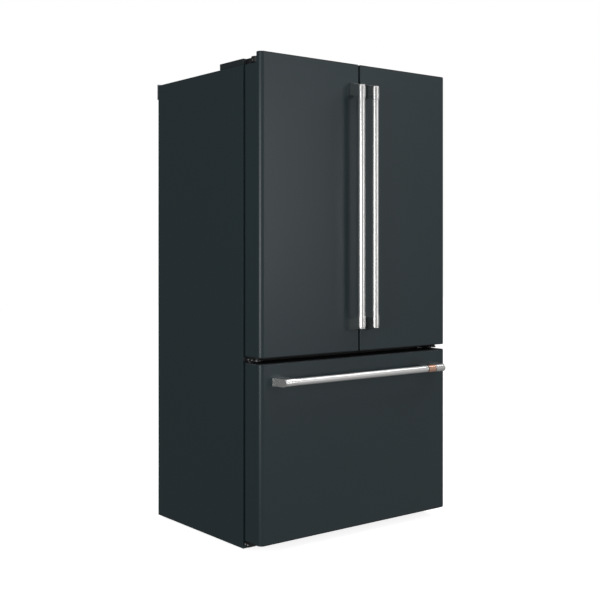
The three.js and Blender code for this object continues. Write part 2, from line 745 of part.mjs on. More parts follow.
function doorBin(side, level) {
  const body = tray(mirrored(side, BIN.x), BIN.y, [level, level + BIN.height], BIN.wall);
  const hooks = [[BIN.x[0] - 3.5, BIN.x[0] + 1], [BIN.x[1] - 1, BIN.x[1] + 3.5]].map((span) =>
    block(mirrored(side, span), [-210, -180], [level + 40, level + 70]));
  return join(body, ...hooks);
}

// ---- Handles ---------------------------------------------------------------

// A post stands on the door at one end of a tube. Along the tube, end is the closed outer end and
// inward is +1 or -1 towards the tube's middle. The flared web is a slanted outline between them.
function postWeb(end, inward) {
  const inner = end + inward * POST_LENGTH;
  const foot = end - inward * POST_SKEW;
  const footInner = inner - inward * POST_SKEW;
  const web = [[TUBE_Y, end], [TUBE_Y, inner], [DOOR_FACE - GAP, footInner], [DOOR_FACE - GAP, foot]];
  return inward > 0 ? web : web.reverse();
}

function doorHandlePost(side, end, inward) {
  const x = side * DOOR_HANDLE_X;
  const web = prismX(outline(postWeb(end, inward)), [x - COLLAR_RADIUS, x + COLLAR_RADIUS]);
  const collar = rodZ(COLLAR_RADIUS, x, TUBE_Y, [end, end + inward * POST_LENGTH], 32);
  const bore = rodZ(
    TUBE_BORE_RADIUS,
    x,
    TUBE_Y,
    [end + inward * POST_END_WALL, end + inward * (POST_LENGTH + 20)],
    32,
  );
  return cut(join(web, collar), bore);
}

function doorHandleTube(side) {
  const [bottom, top] = DOOR_HANDLE_ENDS;
  const inset = POST_END_WALL + GAP;
  return rodZ(TUBE_RADIUS, side * DOOR_HANDLE_X, TUBE_Y, [bottom + inset, top - inset], 32);
}

function drawerHandlePost(end, inward) {
  const flat = postWeb(end, inward).map(([y, x]) => [x, y]).reverse();
  const zSpan = [DRAWER_HANDLE_Z - COLLAR_RADIUS, DRAWER_HANDLE_Z + COLLAR_RADIUS];
  const web = prismZ(outline(flat), zSpan);
  const collar = rodX(COLLAR_RADIUS, [end, end + inward * POST_LENGTH], TUBE_Y, DRAWER_HANDLE_Z, 32);
  const bore = rodX(
    TUBE_BORE_RADIUS,
    [end + inward * POST_END_WALL, end + inward * (POST_LENGTH + 20)],
    TUBE_Y,
    DRAWER_HANDLE_Z,
    32,
  );
  return cut(join(web, collar), bore);
}

function drawerHandleTube() {
  const [left, right] = DRAWER_HANDLE_ENDS;
  const inset = POST_END_WALL + GAP;
  return rodX(TUBE_RADIUS, [left + inset, right - inset], TUBE_Y, DRAWER_HANDLE_Z, 32);
}

function drawerHandleRing() {
  const [left, right] = RING_SPAN;
  return cut(
    rodX(RING_RADIUS, RING_SPAN, TUBE_Y, DRAWER_HANDLE_Z, 32),
    rodX(TUBE_BORE_RADIUS, [left - 1, right + 1], TUBE_Y, DRAWER_HANDLE_Z, 32),
  );
}

// ---- Freezer drawer --------------------------------------------------------

function drawerSection(inset, back) {
  const radius = OUTER_EDGE_RADIUS - inset;
  return frontOutline([-HALF + inset, HALF - inset], [DOOR_FACE + inset, back], radius, radius);
}

function drawerSkin() {
  const body = prismZ(drawerSection(0, DOOR_BACK), [DRAWER_BOTTOM, DRAWER_TOP]);
  const hollow = prismZ(drawerSection(SHEET, DOOR_BACK + 1), [DRAWER_BOTTOM + SHEET, DRAWER_TOP - SHEET]);
  return cut(body, hollow);
}

function drawerLiner() {
  const inset = SHEET + GAP;
  const core = prismZ(drawerSection(inset, DOOR_BACK), [DRAWER_BOTTOM + inset, DRAWER_TOP - inset]);
  const pan = block([-398, 398], [DOOR_BACK - 1, PAN_FACE], [104, 646]);
  return join(core, pan);
}

function channel(side, xSpan, zSpan, ySpan) {
  const [inner, outer] = ordered(xSpan);
  const [z0, z1] = ordered(zSpan);
  const whole = block(mirrored(side, [inner, outer]), ySpan, zSpan);
  const groove = block(
    mirrored(side, [inner - 1, outer - SLIDE_WALL]),
    [ySpan[0] - 1, ySpan[1] + 1],
    [z0 + SLIDE_WALL, z1 - SLIDE_WALL],
  );
  return cut(whole, groove);
}

function fixedSlide(side) {
  return channel(side, [SLIDE_OUTER_X - 13.5, SLIDE_OUTER_X], SLIDE_Z, SLIDE_Y);
}

function middleSlide(side) {
  const zSpan = [SLIDE_Z[0] + 2.6, SLIDE_Z[1] - 2.6];
  return channel(side, [SLIDE_OUTER_X - 15.5, SLIDE_OUTER_X - 2.6], zSpan, SLIDE_Y);
}

function drawerSlide(side) {
  const zSpan = [SLIDE_Z[0] + 5.2, SLIDE_Z[1] - 5.2];
  const xSpan = mirrored(side, [SLIDE_OUTER_X - 25, SLIDE_OUTER_X - 5.2]);
  return block(xSpan, [PAN_FACE + GAP, SLIDE_Y[1]], zSpan);
}

function lowerBasket() {
  const { x, y, z, wall } = LOWER_BASKET;
  const body = tray([-x, x], y, z, wall);
  const rim = cut(
    block([-x - 4, x + 4], y, [z[1] - 8, z[1]]),
    block([-x + wall, x - wall], [y[0] + wall, y[1] - wall], [z[1] - 9, z[1] + 1]),
  );
  return join(body, rim);
}

function upperBasket() {
  const { x, y, z, wall } = UPPER_BASKET;
  const inner = x - 15;
  const body = tray([-inner, inner], y, [z[0] - 50, z[1]], wall);
  const runners = SIDES.map(({ sign }) => block(mirrored(sign, [inner - 1, x + 12]), y, [z[0], z[0] + 6]));
  return join(body, ...runners);
}

// ---- Assembly --------------------------------------------------------------

const cabinet = newGroup();
addPiece(cabinet, "outer_wrapper", outerWrapper(), "slatePaint");
addPiece(cabinet, "rear_panel", rearPanel(), "zincSteel");
addPiece(cabinet, "cabinet_insulation", cabinetInsulation(), "foam");
addPiece(cabinet, "fresh_food_liner", freshFoodLiner(), "whiteLiner");
addPiece(cabinet, "freezer_liner", freezerLiner(), "whiteLiner");
addPiece(cabinet, "base_frame", baseFrame(), "blackPaint");
addPiece(cabinet, "top_cover", topCover(), "darkPlastic");
addPiece(cabinet, "machine_cover", machineCover(), "blackPaint");
addPiece(cabinet, "power_inlet", powerInlet(), "darkPlastic");
for (const { word, sign } of SIDES) {
  addPiece(cabinet, `${word}_top_hinge`, topHinge(sign), "blackPaint");
  addPiece(cabinet, `${word}_centre_hinge`, centreHinge(sign), "zincSteel");
  addPiece(cabinet, `${word}_front_leg`, levellingLeg(sign), "zincSteel");
  addPiece(cabinet, `${word}_rear_roller`, rearRoller(sign), "nylon");
}

const cooling = newGroup();
addPiece(cooling, "compressor", compressor(), "blackPaint");
addPiece(cooling, "condenser_coil", finnedCoil(CONDENSER.x, CONDENSER.y, CONDENSER.z, 6, 2), "blackPaint");
const condenserFanCentre = [CONDENSER_FAN.x, CONDENSER_FAN.y, CONDENSER_FAN.z];
addPiece(cooling, "condenser_fan", fanRotor(condenserFanCentre, 18, 66, 5, 0), "darkPlastic");
addPiece(cooling, "evaporator_coil", finnedCoil(EVAPORATOR.x, EVAPORATOR.y, EVAPORATOR.z, 7, 2), "aluminium");
addPiece(cooling, "evaporator_fan", fanRotor(EVAPORATOR_FAN_CENTRE, 14, 44, 5, Math.PI / 2), "nylon");
addPiece(cooling, "evaporator_cover", evaporatorCover(), "whiteLiner");

const interior = newGroup();
addPiece(interior, "upper_shelf", glassShelf(SHELF_LEVELS.upper), "shelfGlass");
addPiece(interior, "lower_shelf", glassShelf(SHELF_LEVELS.lower), "shelfGlass");
addPiece(interior, "crisper_cover", crisperCover(), "shelfGlass");
addPiece(interior, "upper_basket", upperBasket(), "clearPlastic");

const doorLiners = { left: leftDoorLiner, right: () => doorLiner(1) };
for (const { word, sign } of SIDES) {
  addPiece(interior, `${word}_crisper`, crisper(sign), "clearPlastic");
  const door = newGroup();
  const gasketX = mirrored(sign, [GASKET_INNER_X, GASKET_OUTER_X]);
  addPiece(door, `${word}_door_skin`, doorSkin(sign), "slatePaint");
  addPiece(door, `${word}_door_liner`, doorLiners[word](), "whiteLiner");
  addPiece(door, `${word}_door_gasket`, ringGasket(gasketX, [702, 1722]), "greyRubber");
  addPiece(door, `${word}_handle_tube`, doorHandleTube(sign), "stainless");
  addPiece(door, `${word}_handle_bottom_post`, doorHandlePost(sign, DOOR_HANDLE_ENDS[0], 1), "stainless");
  addPiece(door, `${word}_handle_top_post`, doorHandlePost(sign, DOOR_HANDLE_ENDS[1], -1), "stainless");
  for (const [place, level] of Object.entries(BIN.levels)) {
    addPiece(door, `${word}_door_${place}_bin`, doorBin(sign, level), "clearPlastic");
  }
}

const folding = newGroup();
addPiece(folding, "folding_mullion", mullion(), "darkPlastic");

const drawer = newGroup();
addPiece(drawer, "drawer_skin", drawerSkin(), "slatePaint");
addPiece(drawer, "drawer_liner", drawerLiner(), "whiteLiner");
addPiece(drawer, "drawer_gasket", ringGasket([-GASKET_OUTER_X, GASKET_OUTER_X], [78, 668]), "greyRubber");
addPiece(drawer, "drawer_handle_tube", drawerHandleTube(), "stainless");
addPiece(drawer, "drawer_handle_left_post", drawerHandlePost(DRAWER_HANDLE_ENDS[0], 1), "stainless");
addPiece(drawer, "drawer_handle_right_post", drawerHandlePost(DRAWER_HANDLE_ENDS[1], -1), "stainless");
addPiece(drawer, "drawer_handle_ring", drawerHandleRing(), "copper");
addPiece(drawer, "lower_basket", lowerBasket(), "clearPlastic");
for (const { word, sign } of SIDES) {
  addPiece(cabinet, `${word}_fixed_slide`, fixedSlide(sign), "zincSteel");
  addPiece(drawer, `${word}_middle_slide`, middleSlide(sign), "zincSteel");
  addPiece(drawer, `${word}_drawer_slide`, drawerSlide(sign), "zincSteel");
}

export default refrigerator;
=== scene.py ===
"""French door refrigerator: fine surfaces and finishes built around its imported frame.

The doors face -Y, +Z is up and the floor is z = 0. Every length is in metres, unless its name
says otherwise.
"""

import json
import logging
import math
from collections.abc import Mapping, Sequence
from dataclasses import dataclass
from enum import Enum

import bmesh
import bpy
from mathutils import Matrix, Vector

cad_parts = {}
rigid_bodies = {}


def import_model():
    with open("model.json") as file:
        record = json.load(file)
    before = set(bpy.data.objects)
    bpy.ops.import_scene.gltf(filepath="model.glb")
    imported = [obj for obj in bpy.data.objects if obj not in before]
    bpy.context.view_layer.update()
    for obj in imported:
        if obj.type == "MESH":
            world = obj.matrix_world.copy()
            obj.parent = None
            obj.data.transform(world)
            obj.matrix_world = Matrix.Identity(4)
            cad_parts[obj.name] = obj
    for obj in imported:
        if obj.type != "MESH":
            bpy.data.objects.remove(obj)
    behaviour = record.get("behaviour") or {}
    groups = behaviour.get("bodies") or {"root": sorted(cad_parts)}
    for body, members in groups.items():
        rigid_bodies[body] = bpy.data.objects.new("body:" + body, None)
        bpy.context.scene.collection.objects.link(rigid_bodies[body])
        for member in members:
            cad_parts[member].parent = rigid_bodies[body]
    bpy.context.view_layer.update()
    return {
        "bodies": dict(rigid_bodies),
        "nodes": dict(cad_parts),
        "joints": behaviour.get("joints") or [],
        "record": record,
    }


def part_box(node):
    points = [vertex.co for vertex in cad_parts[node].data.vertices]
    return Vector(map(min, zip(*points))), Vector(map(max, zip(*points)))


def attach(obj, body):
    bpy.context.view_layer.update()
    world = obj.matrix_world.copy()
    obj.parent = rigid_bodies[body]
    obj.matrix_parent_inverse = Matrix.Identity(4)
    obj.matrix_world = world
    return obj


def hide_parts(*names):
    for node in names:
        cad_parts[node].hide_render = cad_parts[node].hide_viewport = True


LOG = logging.getLogger("refrigerator")
MM = 0.001
WHITE = (1.0, 1.0, 1.0, 1.0)

Point = tuple[float, float, float]
Point2 = tuple[float, float]
Colour = tuple[float, float, float]
Piece = bpy.types.Object


class Axis(Enum):
    """A row axis, by its index."""

    X = 0
    Y = 1
    Z = 2


class Side(Enum):
    """Left or right when facing the doors, with the sign of x on that side."""

    LEFT = -1
    RIGHT = 1

    @property
    def word(self) -> str:
        """The side's name as node names spell it."""
        return self.name.lower()


class Slot(Enum):
    """The record's material slots, one of which is named with each new piece."""

    SLATE_PAINT = "slate_paint"
    REAR_STEEL = "rear_steel"
    WHITE_LINER = "white_liner"
    BLACK_PAINT = "black_paint"
    SLATE_PLASTIC = "slate_plastic"
    BLACK_PLASTIC = "black_plastic"
    ZINC_STEEL = "zinc_steel"
    NYLON = "nylon"
    SHELF_GLASS = "shelf_glass"
    CLEAR_PLASTIC = "clear_plastic"
    GREY_RUBBER = "grey_rubber"
    STAINLESS = "stainless"
    COPPER = "copper"


# ---- Shader maths ------------------------------------------------------------


class Wire:
    """A shader socket that takes Python arithmetic."""

    def __init__(self, graph: "Graph", socket: bpy.types.NodeSocket) -> None:
        """Keeps the socket and the graph that the arithmetic adds nodes to."""
        self.graph = graph
        self.socket = socket

    def _maths(self, operation: str, first: "Wire | float", second: "Wire | float") -> "Wire":
        """One Math node.

        Args:
            operation: the Math node's operation.
            first: its first value.
            second: its second value.

        Returns:
            The node's result.
        """
        return self.graph.node("ShaderNodeMath", {"operation": operation}, {0: first, 1: second})

    def __add__(self, other: "Wire | float") -> "Wire":
        """self + other."""
        return self._maths("ADD", self, other)

    def __radd__(self, other: float) -> "Wire":
        """other + self."""
        return self._maths("ADD", other, self)

    def __sub__(self, other: "Wire | float") -> "Wire":
        """self - other."""
        return self._maths("SUBTRACT", self, other)

    def __rsub__(self, other: float) -> "Wire":
        """other - self."""
        return self._maths("SUBTRACT", other, self)

    def __mul__(self, other: "Wire | float") -> "Wire":
        """self * other."""
        return self._maths("MULTIPLY", self, other)

    def __rmul__(self, other: float) -> "Wire":
        """other * self."""
        return self._maths("MULTIPLY", other, self)


class Graph:
    """A shader node tree that is built by calls."""

    def __init__(self, tree: bpy.types.ShaderNodeTree) -> None:
        """Keeps the tree."""
        self.tree = tree

    def node(
        self,
        kind: str,
        settings: Mapping[str, object] | None = None,
        inputs: Mapping[int | str, object] | None = None,
        output: int | str | None = 0,
    ) -> Wire | None:
        """Adds any node.

        Args:
            kind: the node's type.
            settings: its attributes; "stops" holds a colour ramp's (place, colour) pairs.
            inputs: its values or links, by socket.
            output: the socket that is returned, or None for a node that ends the tree.

        Returns:
            The chosen output.
        """
        node = self.tree.nodes.new(kind)
        for key, value in (settings or {}).items():
            if key == "stops":
                self._set_stops(node.color_ramp, value)
            else:
                setattr(node, key, value)
        for key, value in (inputs or {}).items():
            self.feed(node.inputs[key], value)
        return None if output is None else Wire(self, node.outputs[output])

    @staticmethod
    def _set_stops(ramp: bpy.types.ColorRamp, stops: Sequence[tuple[float, float]]) -> None:
        """Sets a ramp to grey stops.

        Args:
            ramp: the ramp.
            stops: pairs of place and grey level.
        """
        while len(ramp.elements) < len(stops):
            ramp.elements.new(0.5)
        for element, (place, level) in zip(ramp.elements, stops):
            element.position = place
            element.color = (level, level, level, 1.0)

    def feed(self, socket: bpy.types.NodeSocket, value: object) -> None:
        """Links or sets one input.

        Args:
            socket: the input.
            value: a Wire to link, or a plain value.
        """
        if isinstance(value, Wire):
            self.tree.links.new(value.socket, socket)
        else:
            socket.default_value = value



class Shader(Graph):
    """A material's node tree around one Principled shader."""

    def __init__(self, name: str, constants: Mapping[str, object]) -> None:
        """Starts the material.

        Args:
            name: the material's name.
            constants: values set on the Principled shader's own sockets.
        """
        self.material = bpy.data.materials.new(name)
        self.material.use_nodes = True
        super().__init__(self.material.node_tree)
        self.principled = self.tree.nodes["Principled BSDF"]
        for socket, value in constants.items():
            self.principled.inputs[socket].default_value = value

    def place(self, scale: Point = (1.0, 1.0, 1.0)) -> Wire:
        """Object coordinates in metres, stretched by scale.

        Args:
            scale: the pattern's scale along each axis.

        Returns:
            The coordinates.
        """
        here = self.node("ShaderNodeTexCoord", output="Object")
        return self.node("ShaderNodeMapping", inputs={"Vector": here, "Scale": scale})

    def noise(self, scale: float, detail: float = 2.0, stretch: Point = (1.0, 1.0, 1.0)) -> Wire:
        """Noise from 0 to 1 over object coordinates.

        Args:
            scale: cells per metre.
            detail: octaves.
            stretch: extra scale along each axis.

        Returns:
            The noise.
        """
        inputs = {"Vector": self.place(stretch), "Scale": scale, "Detail": detail, "Roughness": 0.55}
        return self.node("ShaderNodeTexNoise", inputs=inputs)

    def blend(self, first: Colour, second: Colour, factor: Wire) -> Wire:
        """A colour between two.

        Args:
            first: the colour where factor is 0.
            second: the colour where factor is 1.
            factor: the mix.

        Returns:
            The mixed colour.
        """
        inputs = {0: factor, 6: (*first, 1.0), 7: (*second, 1.0)}
        return self.node("ShaderNodeMix", {"data_type": "RGBA"}, inputs, output=2)

    def finish(self, colour: Wire, roughness: Wire, height: Wire, relief_mm: float) -> bpy.types.Material:
        """Connects the shader's varying inputs.

        Args:
            colour: base colour.
            roughness: roughness.
            height: bump height from 0 to 1.
            relief_mm: what height 1 means in millimetres.

        Returns:
            The finished material.
        """
        self.feed(self.principled.inputs["Base Color"], colour)
        self.feed(self.principled.inputs["Roughness"], roughness)
        relief = {"Height": height, "Distance": relief_mm * MM, "Strength": 1.0}
        bump = self.node("ShaderNodeBump", inputs=relief)
        self.feed(self.principled.inputs["Normal"], bump)
        return self.material


def shade(colour: Colour, factor: float) -> Colour:
    """A colour made lighter or darker.

    Args:
        colour: the colour.
        factor: what each channel is multiplied by.

    Returns:
        The new colour.
    """
    return tuple(min(1.0, channel * factor) for channel in colour)


# ---- Finishes ----------------------------------------------------------------


@dataclass(frozen=True)
class PowderCoat:
    """Baked paint with a fine orange peel and a slow drift of tone."""

    name: str
    colour: Colour
    roughness: float = 0.35
    specular: float = 0.5
    peel_per_metre: float = 420.0
    peel_mm: float = 0.012

    def build(self) -> bpy.types.Material:
        """Makes the material."""
        shader = Shader(self.name, {"Specular IOR Level": self.specular})
        peel = shader.noise(self.peel_per_metre, 3.0)
        drift = shader.noise(2.2, 3.0)
        speck = shader.noise(2600.0, 1.0)
        colour = shader.blend(shade(self.colour, 0.93), shade(self.colour, 1.07), drift * 0.6 + speck * 0.4)
        roughness = self.roughness + (drift - 0.5) * 0.08 + (speck - 0.5) * 0.06
        return shader.finish(colour, roughness, peel * 0.8 + speck * 0.2, self.peel_mm)


@dataclass(frozen=True)
class BrushedMetal:
    """Metal with fine brush lines across one axis."""

    name: str
    colour: Colour
    lines: Point
    roughness: float = 0.24
    metallic: float = 0.82
    relief_mm: float = 0.0012

    def build(self) -> bpy.types.Material:
        """Makes the material."""
        shader = Shader(self.name, {"Metallic": self.metallic})
        grain = shader.noise(60.0, 4.0, self.lines)
        cloud = shader.noise(6.0, 2.0)
        colour = shader.blend(shade(self.colour, 0.95), shade(self.colour, 1.04), grain * 0.7 + cloud * 0.3)
        roughness = self.roughness + (grain - 0.5) * 0.08 + (cloud - 0.5) * 0.05
        return shader.finish(colour, roughness, grain, self.relief_mm)


@dataclass(frozen=True)
class PlatedSteel:
    """Zinc-plated or galvanised sheet with soft crystal patches."""

    name: str
    colour: Colour
    roughness: float = 0.38
    patch_per_metre: float = 90.0

    def build(self) -> bpy.types.Material:
        """Makes the material."""
        shader = Shader(self.name, {"Metallic": 0.9})
        inputs = {"Vector": shader.place(), "Scale": self.patch_per_metre}
        patches = shader.node("ShaderNodeTexVoronoi", {"feature": "SMOOTH_F1"}, inputs)
        stain = shader.noise(9.0, 4.0)
        mottle = patches * 0.7 + stain * 0.3
        colour = shader.blend(shade(self.colour, 0.82), shade(self.colour, 1.08), mottle)
        roughness = self.roughness + (patches - 0.4) * 0.12 + (stain - 0.5) * 0.14
        return shader.finish(colour, roughness, stain, 0.01)


@dataclass(frozen=True)
class MouldedPlastic:
    """Opaque moulded plastic with a fine spark-eroded texture."""

    name: str
    colour: Colour
    roughness: float = 0.5
    texture_per_metre: float = 1500.0
    texture_mm: float = 0.02

    def build(self) -> bpy.types.Material:
        """Makes the material."""
        shader = Shader(self.name, {"Specular IOR Level": 0.4})
        texture = shader.noise(self.texture_per_metre, 2.0)
        flow = shader.noise(5.0, 3.0)
        colour = shader.blend(shade(self.colour, 0.95), shade(self.colour, 1.05), flow)
        roughness = self.roughness + (texture - 0.5) * 0.12 + (flow - 0.5) * 0.06
        return shader.finish(colour, roughness, texture, self.texture_mm)


@dataclass(frozen=True)
class ClearMoulding:
    """Clear moulded plastic or glass, thin enough that light passes straight through."""

    name: str
    colour: Colour
    alpha: float
    roughness: float = 0.08
    coat: float = 0.5

    def build(self) -> bpy.types.Material:
        """Makes the material."""
        shader = Shader(self.name, {"Coat Weight": self.coat, "Coat Roughness": 0.03, "IOR": 1.5})
        flow = shader.noise(7.0, 2.0)
        haze = shader.noise(300.0, 2.0)
        colour = shader.blend(shade(self.colour, 0.97), self.colour, flow)
        rim = shader.node("ShaderNodeLayerWeight", inputs={"Blend": 0.35}, output="Facing")
        shader.feed(shader.principled.inputs["Alpha"], self.alpha + rim * (0.9 - self.alpha) * 0.8)
        return shader.finish(colour, self.roughness + haze * 0.05, flow, 0.05)


@dataclass(frozen=True)
class SealRubber:
    """Soft matt seal rubber."""

    name: str
    colour: Colour

    def build(self) -> bpy.types.Material:
        """Makes the material."""
        shader = Shader(self.name, {"Specular IOR Level": 0.25})
        bloom = shader.noise(35.0, 4.0)
        pores = shader.noise(1800.0, 2.0)
        colour = shader.blend(shade(self.colour, 0.85), shade(self.colour, 1.15), bloom)
        return shader.finish(colour, 0.72 + (bloom - 0.5) * 0.15, pores, 0.02)


@dataclass(frozen=True)
class RigidFoam:
    """Cellular insulation foam."""

    name: str
    colour: Colour

    def build(self) -> bpy.types.Material:
        """Makes the material."""
        shader = Shader(self.name, {"Specular IOR Level": 0.15})
        cells = shader.node(
            "ShaderNodeTexVoronoi",
            {"feature": "F1"},
            {"Vector": shader.place(), "Scale": 320.0},
        )
        skin = shader.noise(12.0, 4.0)
        colour = shader.blend(shade(self.colour, 0.75), shade(self.colour, 1.1), cells * 0.5 + skin * 0.5)
        return shader.finish(colour, 0.9 + (skin - 0.5) * 0.1, cells, 0.3)


@dataclass(frozen=True)
class LitPanel:
    """A diffuser that glows faintly."""

    name: str
    colour: Colour
    strength: float

    def build(self) -> bpy.types.Material:
        """Makes the material."""
        glow = {"Emission Strength": self.strength, "Emission Color": (*self.colour, 1.0)}
        shader = Shader(self.name, glow)
        ripple = shader.noise(400.0, 2.0)
        colour = shader.blend(shade(self.colour, 0.95), self.colour, ripple)
        return shader.finish(colour, 0.4 + ripple * 0.1, ripple, 0.05)


class Finishes:
    """Every material, made once."""

    SLATE: Colour = (0.0140, 0.0290, 0.0350)
    WHITE: Colour = (0.74, 0.76, 0.76)
    BLACK: Colour = (0.012, 0.013, 0.014)
    STEEL: Colour = (0.86, 0.86, 0.85)
    ZINC: Colour = (0.50, 0.51, 0.52)

    def __init__(self) -> None:
        """Builds each finish."""
        along_z: Point = (30.0, 30.0, 1.0)
        along_x: Point = (1.0, 30.0, 30.0)
        self.slate = PowderCoat("slate_powder_coat", self.SLATE).build()
        self.black_paint = PowderCoat("black_chassis_paint", self.BLACK, 0.45, 0.4).build()
        self.cap_plastic = MouldedPlastic("dark_cap_plastic", (0.009, 0.012, 0.014), 0.6).build()
        self.cover_plastic = MouldedPlastic("slate_cover_plastic", (0.014, 0.021, 0.024), 0.55).build()
        self.black_plastic = MouldedPlastic("black_plastic", self.BLACK, 0.5).build()
        self.white_liner = MouldedPlastic("white_liner_plastic", self.WHITE, 0.32, 500.0, 0.008).build()
        self.nylon = MouldedPlastic("natural_nylon", (0.62, 0.62, 0.58), 0.5).build()
        self.upright_steel = BrushedMetal("upright_brushed_steel", self.STEEL, along_z).build()
        self.level_steel = BrushedMetal("level_brushed_steel", self.STEEL, along_x, 0.33, 0.7).build()
        cast = BrushedMetal("cast_post_steel", self.STEEL, (1.0, 1.0, 1.0), 0.26, 1.0, 0.0003)
        self.cast_steel = cast.build()
        self.black_zinc = PlatedSteel("black_zinc_plate", (0.10, 0.10, 0.105), 0.42).build()
        self.copper = BrushedMetal("brushed_copper", (0.78, 0.47, 0.35), along_x, 0.26).build()
        self.zinc = PlatedSteel("zinc_plated_steel", self.ZINC).build()
        self.galvanised = PlatedSteel("galvanised_sheet", (0.33, 0.34, 0.35), 0.5, 45.0).build()
        self.aluminium = BrushedMetal("coil_aluminium", (0.62, 0.63, 0.64), (40.0, 1.0, 1.0), 0.35).build()
        self.clear_plastic = ClearMoulding("clear_bin_plastic", (0.80, 0.86, 0.88), 0.22).build()
        self.glass = ClearMoulding("tempered_glass", (0.62, 0.80, 0.76), 0.16, 0.03, 1.0).build()
        self.rubber = SealRubber("grey_seal_rubber", (0.030, 0.032, 0.034)).build()
        self.foam = RigidFoam("insulation_foam", (0.60, 0.50, 0.27)).build()
        self.lamp = LitPanel("lamp_diffuser", (0.95, 0.97, 1.0), 1.2).build()


# ---- Mesh making ---------------------------------------------------------------


class Form:
    """A mesh under construction, in the row frame."""

    def __init__(self) -> None:
        """Starts empty."""
        self.mesh = bmesh.new()

    def block(
        self, low: Sequence[float], high: Sequence[float], radius: float = 0.0, steps: int = 3
    ) -> "Form":
        """Adds a box with rounded edges.

        Args:
            low: its lowest corner.
            high: its highest corner.
            radius: the edges' radius.
            steps: segments in each rounded edge.

        Returns:
            This form.
        """
        size = Vector(high) - Vector(low)
        middle = (Vector(high) + Vector(low)) / 2
        matrix = Matrix.Translation(middle) @ Matrix.Diagonal((*size, 1.0))
        corners = bmesh.ops.create_cube(self.mesh, size=1.0, matrix=matrix)["verts"]
        if radius > 0.0:
            edges = list({edge for corner in corners for edge in corner.link_edges})
            self._round(edges, min(radius, 0.49 * min(size)), steps)
        return self

    def _round(self, edges: list, radius: float, steps: int) -> None:
        """Rounds edges.

        Args:
            edges: the edges.
            radius: their new radius.
            steps: segments across each.
        """
        bmesh.ops.bevel(
            self.mesh,
            geom=edges,
            offset=radius,
            offset_type="OFFSET",
            segments=steps,
            profile=0.5,
            affect="EDGES",
            clamp_overlap=True,
        )

    def prism(
        self,
        outline: Sequence[Point2],
        span: Point2,
        axis: Axis = Axis.Z,
        rim: float = 0.0,
        steps: int = 2,
    ) -> "Form":
        """Adds an extruded outline.

        Args:
            outline: points in the plane across the axis, in the order X, Y, Z without the axis itself.
            span: where it starts and ends along the axis.
            axis: the direction of the extrusion.
            rim: radius of the edges round both ends.
            steps: segments in each rounded edge.

        Returns:
            This form.
        """
        rings = []
        for along in span:
            ring = []
            for first, second in outline:
                place = [first, second]
                place.insert(axis.value, along)
                ring.append(self.mesh.verts.new(place))
            rings.append(ring)
        count = len(outline)
        faces = [self.mesh.faces.new(rings[0]), self.mesh.faces.new(rings[1])]
        ends = [edge for face in faces for edge in face.edges]
        for index in range(count):
            after = (index + 1) % count
            corners = (rings[0][index], rings[0][after], rings[1][after], rings[1][index])
            faces.append(self.mesh.faces.new(corners))
        bmesh.ops.recalc_face_normals(self.mesh, faces=faces)
        if rim > 0.0:
            self._round(ends, rim, steps)
        return self

    def lathe(
        self, profile: Sequence[Point2], centre: Sequence[float], axis: Axis, steps: int = 48
    ) -> "Form":
        """Adds a turned solid.

        Args:
            profile: (radius, height) points; its ends are on the axis, or it closes on itself.
            centre: a point on the axis, from which heights count.
            axis: the axis.
            steps: facets round it.

        Returns:
            This form.
        """
        closed = profile[0][0] > 0.0 or profile[-1][0] > 0.0
        rings = []
        for radius, height in profile:
            count = steps if radius > 0.0 else 1
            turns = [2 * math.pi * k / steps for k in range(count)]
            rings.append([self._turned(radius, height, turn, centre, axis) for turn in turns])
        pairs = list(zip(rings, rings[1:]))
        if closed:
            pairs.append((rings[-1], rings[0]))
        faces = []
        for lower, upper in pairs:
            for k in range(steps):
                corners = []
                for ring, at in ((lower, k), (lower, k + 1), (upper, k + 1), (upper, k)):
                    corner = ring[at % len(ring)]
                    if corner not in corners:
                        corners.append(corner)
                if len(corners) > 2:
                    faces.append(self.mesh.faces.new(corners))
        bmesh.ops.recalc_face_normals(self.mesh, faces=faces)
        return self

    def _turned(
        self, radius: float, height: float, angle: float, centre: Sequence[float], axis: Axis
    ) -> bmesh.types.BMVert:
        """One vertex of a turned solid.

        Args:
            radius: distance from the axis.
            height: distance along the axis.
            angle: turn about the axis.
            centre: a point on the axis.
            axis: the axis.

        Returns:
            The vertex.
        """
        place = [radius * math.cos(angle), radius * math.sin(angle)]
        place.insert(axis.value, height)
        return self.mesh.verts.new(Vector(place) + Vector(centre))

    def rod(
        self,
        radius: float,
        start: Sequence[float],
        length: float,
        axis: Axis,
        steps: int = 24,
        edge: float = 0.0,
    ) -> "Form":
        """Adds a cylinder with softened ends.

        Args:
            radius: its radius.
            start: the centre of its first end.
            length: its length along the axis.
            axis: the axis.
            steps: facets round it.
            edge: the chamfer at each end.

        Returns:
            This form.
        """
        foot = [(0.0, 0.0), (radius - edge, 0.0), (radius, edge)]
        profile = foot + [(across, length - height) for across, height in reversed(foot)]
        if edge == 0.0:
            profile = [(0.0, 0.0), (radius, 0.0), (radius, length), (0.0, length)]
        return self.lathe(profile, start, axis, steps)

    def piece(self, name: str, sharp_degrees: float = 40.0) -> Piece:
        """Turns the form into a Blender object.

        Args:
            name: the object's name.
            sharp_degrees: edges that turn more than this stay sharp.

        Returns:
            The object, at the origin.
        """
        data = bpy.data.meshes.new(name)
        self.mesh.to_mesh(data)
        self.mesh.free()
        for polygon in data.polygons:
            polygon.use_smooth = True
        data.set_sharp_from_angle(angle=math.radians(sharp_degrees))
        made = bpy.data.objects.new(name, data)
        bpy.context.scene.collection.objects.link(made)
        return made


